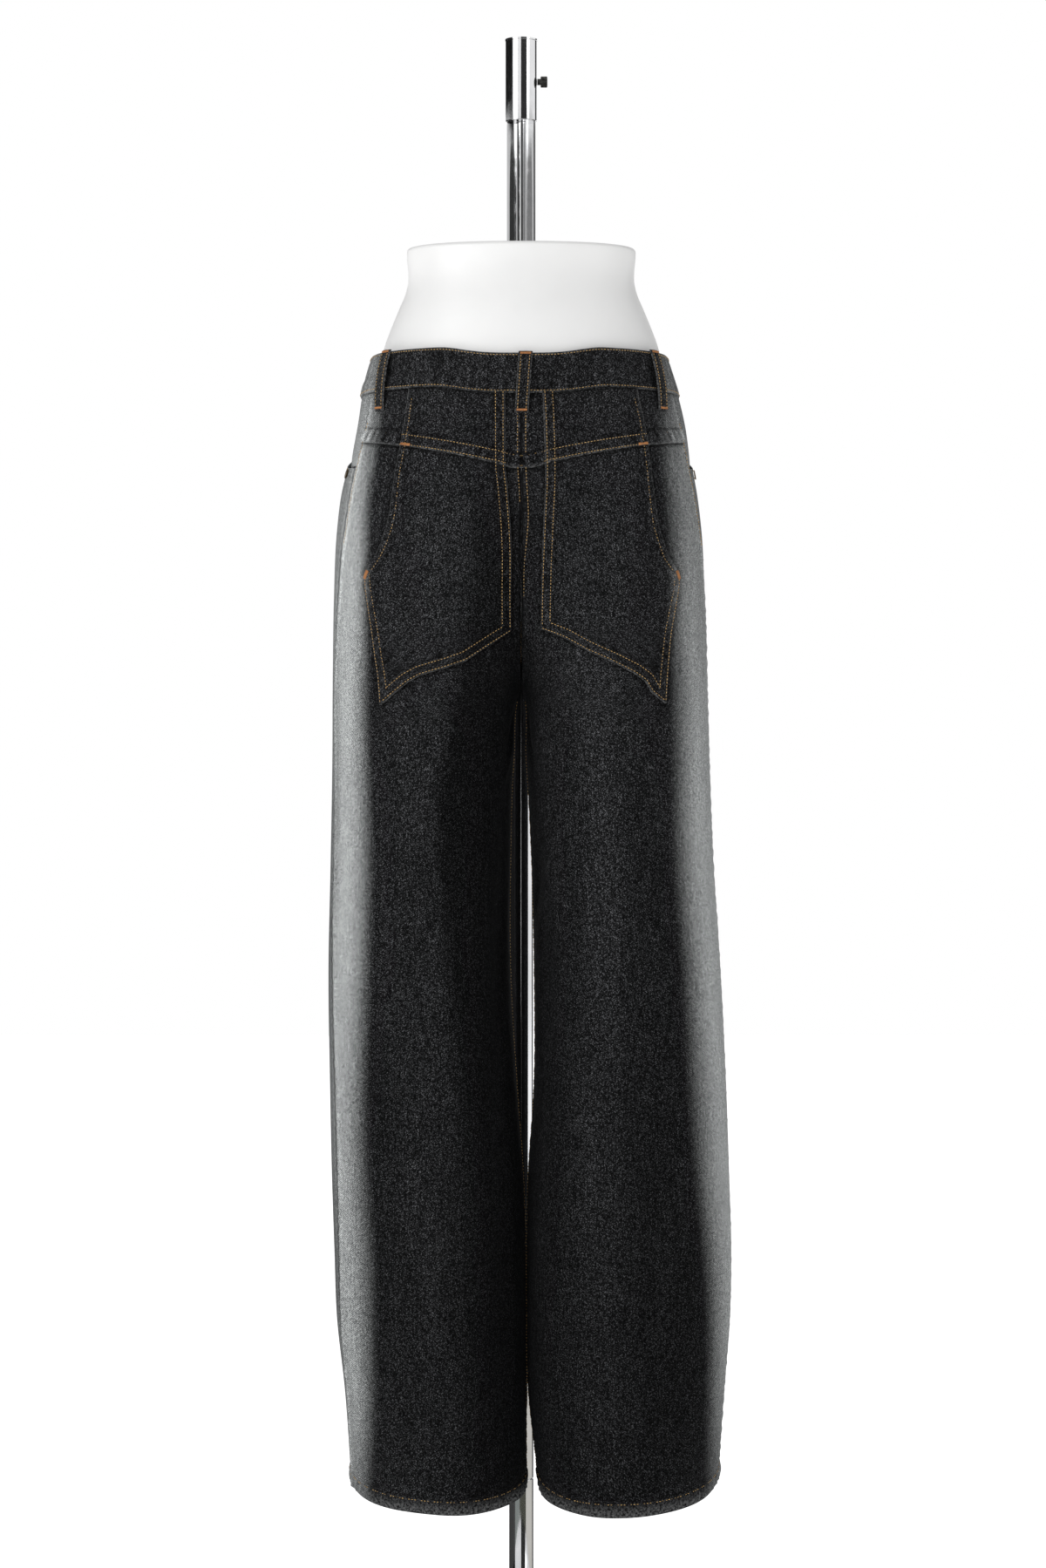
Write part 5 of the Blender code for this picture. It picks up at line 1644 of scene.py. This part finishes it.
def stand():
    """The base, pole, arm, sleeve, screw and rod, with rounded edges, lips and a knurled head."""
    edge = BASE_RADIUS
    rows = ((edge - 0.001, 0.0), (edge, 0.001), (edge, 0.0045), (edge - 0.0006, 0.0056))
    rows += ((edge - 0.0016, BASE_THICKNESS),)
    turned("stand_base", "base_plate", rows, chrome, segments=192)
    for name, node_name, radius, low, high in POLE_ROWS:
        round_off = 0.0006
        rows = ((radius - round_off, low), (radius, low + round_off))
        rows += ((radius, high - round_off), (radius - round_off, high))
        turned(name, node_name, rows, chrome, (0, POLE_Y, 0))
    wide, top = SLEEVE_RADIUS, SLEEVE_TOP
    rows = ((wide - 0.0008, SLEEVE_LOW), (wide, SLEEVE_LOW + 0.0007), (wide, top - 0.0022))
    rows += ((wide + 0.0004, top - 0.0019), (wide + 0.0004, top - 0.0004), (wide - 0.0006, top))
    rows += ((wide - 0.0016, top - 0.0006), (wide - 0.0020, top - 0.0102))
    turned("stand_sleeve", "sleeve", rows, chrome)
    rows = ((ROD_RADIUS, FORM_TOP + 0.0066), (ROD_RADIUS, SLEEVE_LOW - SEAM_GAP))
    turned("stand_rod", "hanging_rod", rows, chrome)
    low = FORM_TOP + SEAM_GAP
    rows = ((0.0100, low), (0.0100, low + 0.0046), (0.0094, low + 0.0054), (0.0084, low + 0.0057))
    turned("stand_collar", "form_collar", rows, chrome)
    across = Matrix.Rotation(math.radians(90), 4, "Y")
    rows = ((0.0030, 0.0), (0.0030, 0.0030), (0.0047, 0.0031), (0.0052, 0.0036), (0.0052, 0.0088))
    rows += ((0.0047, 0.0094), (0.0030, 0.0095))
    near, far = SLEEVE_RADIUS + SEAM_GAP, POLE_Y - UPPER_POLE_RADIUS - SEAM_GAP
    at = (near, 0, ARM_Z)
    turned("stand_thumb_screw", "thumb_screw", rows, dark_metal, at, across, 60, ridges=True)
    bm = bmesh.new()
    bmesh.ops.create_cube(bm, size=1.0)
    bmesh.ops.scale(bm, vec=(ARM_WIDTH, far - near, ARM_HEIGHT), verts=bm.verts)
    bmesh.ops.translate(bm, vec=(0, (far + near) / 2, ARM_Z), verts=bm.verts)
    bmesh.ops.bevel(bm, geom=bm.edges[:], offset=0.0016, segments=3, affect="EDGES")
    mesh = mesh_of("stand_arm", bm)
    item = link("stand_arm", mesh, chrome)
    mesh.set_sharp_from_angle(angle=SHARP_ANGLE)
    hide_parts("arm")


def form_profile():
    """Height, left, right, back and front of the hip form, cleared from the cloth below the waist."""
    rows = [(z, half, half, back, front) for z, half, back, front in FORM_ROWS]
    for z, side, back, front in FORM_CLEARANCE_ROWS:
        left, right = (SECTIONS[name].at(z) for name in ("left", "right"))
        centre = float(surface("left", back_inner("left", z), z, fine=False)[1])
        rows.append((z, left[0] - side, right[0] - side, centre + back, left[3] - front))
    return Profile(rows)


def hip_form():
    """The moulded form, with a softly rounded rim round its flat top."""
    profile = form_profile()
    steps = 144
    rims = np.radians(np.linspace(0, 90, 9))
    rows = [(FORM_TOP - FORM_RIM * (1 - math.cos(a)), FORM_RIM * (1 - math.sin(a))) for a in rims]
    rows += [(z, 0.0) for z in np.linspace(FORM_TOP - 0.007, FORM_BOTTOM + 0.020, 80)]
    rows += [(FORM_BOTTOM + 0.008, 0.004), (FORM_BOTTOM + 0.002, 0.010), (FORM_BOTTOM, 0.018)]
    rings = []
    for z, inset_by in rows:
        left, right, back, front = profile.at(z)
        ring_points = []
        for k in range(steps):
            turn = 2 * math.pi * k / steps
            half = (right if math.cos(turn) > 0 else left) - inset_by
            depth = (front if math.sin(turn) > 0 else -back) - inset_by
            across, deep = abs(math.cos(turn)) / half, abs(math.sin(turn)) / depth
            radius = (across**FORM_POWER + deep**FORM_POWER) ** (-1 / FORM_POWER)
            ring_points.append((radius * math.cos(turn), radius * math.sin(turn), z))
        rings.append(ring_points)
    item = link("moulded_hip_form", lofted("moulded_hip_form", rings), white)
    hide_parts("hip_form")


def placed(name, data):
    """A new object of the setting, in the scene's collection."""
    item = bpy.data.objects.new(name, data)
    bpy.context.scene.collection.objects.link(item)
    return item


def set_floor():
    mesh = bpy.data.meshes.new("floor")
    corners = [(x * FLOOR_HALF, y * FLOOR_HALF, 0) for x, y in ((-1, -1), (1, -1), (1, 1), (-1, 1))]
    mesh.from_pydata(corners, [], [(0, 1, 2, 3)])
    material, tree, shader = blank("floor")
    mottled(tree, shader, "Base Color", 3, 0.90, 0.93)
    settle(shader, {"Roughness": 0.9, "Emission Color": (1, 1, 1, 1), "Emission Strength": 0.75})
    mesh.materials.append(material)
    placed("floor", mesh)


def dark_card(name, first, last, low, high, strength, arch=0.0, radius=2.6):
    """A curved card that only polished metal shows, between two directions from the camera's. An
    arch lowers its top towards both ends."""
    turns = np.radians(np.linspace(first, last, CARD_COLUMNS))
    drops = arch * np.linspace(-1, 1, CARD_COLUMNS) ** 4
    points = [(radius * math.sin(t), -radius * math.cos(t), low) for t in turns]
    points += [(x, y, high - drop) for (x, y, _), drop in zip(points, drops)]
    add_card(name, points, (1, 1, 1), strength)


def floor_card(name, first, last, strength, colour=(1, 1, 1)):
    """A flat card round the pole's foot, between two directions, that only polished metal shows."""
    turns = np.radians(np.linspace(first, last, CARD_COLUMNS))
    points = [(r * math.sin(t), POLE_Y - r * math.cos(t), 0.001) for r in (0.03, 2.4) for t in turns]
    add_card(name, points, colour, strength)


def add_card(name, points, colour, strength):
    """A glowing card from its first long edge's points and then its second's."""
    n = CARD_COLUMNS
    mesh = bpy.data.meshes.new(name)
    mesh.from_pydata(points, [], [(i, i + 1, i + n + 1, i + n) for i in range(n - 1)])
    mesh.materials.append(emitter(name, colour, strength))
    item = placed(name, mesh)
    item.visible_camera = item.visible_diffuse = item.visible_shadow = False


def light(name, place, target, size, power):
    data = bpy.data.lights.new(name, "AREA")
    data.shape = "RECTANGLE"
    data.size, data.size_y = size
    data.energy = power
    item = placed(name, data)
    item.location = place
    item.rotation_euler = (Vector(target) - Vector(place)).to_track_quat("-Z", "Y").to_euler()


def set_world():
    world = bpy.data.worlds.new("studio")
    bpy.context.scene.world = world
    world.use_nodes = True
    tree = world.node_tree
    back = tree.nodes["Background"]
    settle(back, {"Color": (1, 1, 1, 1)})
    ray = tree.nodes.new("ShaderNodeLightPath")
    seen = maths(tree, "MAXIMUM", ray.outputs["Is Camera Ray"], ray.outputs["Is Glossy Ray"])
    strength = maths(tree, "ADD", maths(tree, "MULTIPLY", seen, 1.0 - AMBIENT), AMBIENT)
    tree.links.new(strength, back.inputs["Strength"])


AMBIENT = 0.42
denim = denim_material()
tan = thread_material("tan_thread", (0.250, 0.150, 0.052), (0.580, 0.370, 0.140))
orange = thread_material("orange_thread", (0.28, 0.11, 0.030), (0.50, 0.21, 0.065))
chrome = metal_material("polished_chrome", (0.70, 0.71, 0.72), (0.78, 0.78, 0.79), 0.04, 0.10, 40)
dark_metal = metal_material("blackened_steel", (0.035, 0.035, 0.033), (0.09, 0.09, 0.085), 0.25, 0.45, 300)
brass = metal_material("aged_brass", (0.12, 0.085, 0.05), (0.30, 0.23, 0.15), 0.28, 0.50, 420)
white = form_material()

pieces = {}
for side in ("left", "right"):
    pieces["back_" + side] = back_panel(side)
    pieces["yoke_" + side] = yoke(side)
    pieces["front_" + side] = front_panel(side)
    pieces["hip_facing_" + side] = facing(side)
    pieces["pocket_upper_" + side], pieces["pocket_" + side] = back_pocket(side)
    pieces["hem_back_" + side] = hem_band(side, "back", (back_inner, back_outer))
    pieces["hem_front_" + side] = hem_band(side, "front", (inner_angle, mouth_angle))
pieces["waistband"] = waistband()
for name, face, top_x, bottom_x in LOOP_ROWS:
    pieces[name] = belt_loop(name, face, top_x, bottom_x)
for name, piece in pieces.items():
    if not name.startswith("hem_"):
        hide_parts(name)

rows, tacks = Thread(), Thread()
for side in ("left", "right"):
    stitch_back(side, rows, tacks)
    stitch_front(side, rows, tacks)
    stitch_hem(side, rows)
stitch_band(rows)
stitch_loops(rows, tacks)
stitching = rows.make("stitching", tan)
bartacks = tacks.make("bartacks", orange)

hip_form()
stand()
small_metal()

set_floor()
set_world()

dark_card("card_left", -165, -66, 1.895, 3.2, 0.0)
dark_card("card_left_low", -165, -66, -0.5, 1.20, 0.0)
dark_card("card_front", -2, 41, -0.5, 3.2, 0.02)
dark_card("card_right", 122, 150, -0.5, 3.2, 0.05)
dark_card("card_arch_left", -112, -38, 1.2, 1.885, 0.03, arch=0.10)
dark_card("card_arch_right", 46, 104, 1.2, 1.885, 0.22, arch=0.12)
dark_card("card_haze", -179, 179, 1.2, 1.92, 0.62, radius=2.8)
floor_card("floor_left", -178, -60, 0.03)
floor_card("floor_grey", -60, -15, 0.22, (0.9, 1.0, 0.95))
floor_card("floor_front", -15, 44, 0.05, (0.9, 0.9, 0.6))
floor_card("floor_cream", 44, 124, 0.60, (1.0, 0.97, 0.90))
floor_card("floor_right", 124, 178, 0.05)
light("key", (-2.4, -2.6, 2.3), (0, 0, 0.8), (1.8, 2.2), 63)
light("fill", (2.6, -2.4, 1.4), (0, 0, 0.7), (1.6, 2.4), 14)

# The photograph's size, the stand's axis and the eye's level in pixels, and metres a pixel there.
PHOTO_WIDTH, PHOTO_HEIGHT = 1200, 1799
AXIS_COLUMN, EYE_ROW = 598, 810
PIXEL = 0.00082
CAMERA_DISTANCE = 3.2
EYE_HEIGHT = 0.893
camera_data = bpy.data.cameras.new("camera")
camera_data.sensor_fit = "VERTICAL"
camera_data.sensor_height = 36
camera_data.lens = camera_data.sensor_height * CAMERA_DISTANCE / (PHOTO_HEIGHT * PIXEL)
camera_data.shift_x = (PHOTO_WIDTH / 2 - AXIS_COLUMN) / PHOTO_HEIGHT
camera_data.shift_y = -(PHOTO_HEIGHT / 2 - EYE_ROW) / PHOTO_HEIGHT
camera = placed("camera", camera_data)
camera.location = (0, -CAMERA_DISTANCE, EYE_HEIGHT)
camera.rotation_euler = (math.radians(90), 0, 0)
bpy.context.scene.camera = camera
bpy.context.scene.view_settings.view_transform = "Standard"
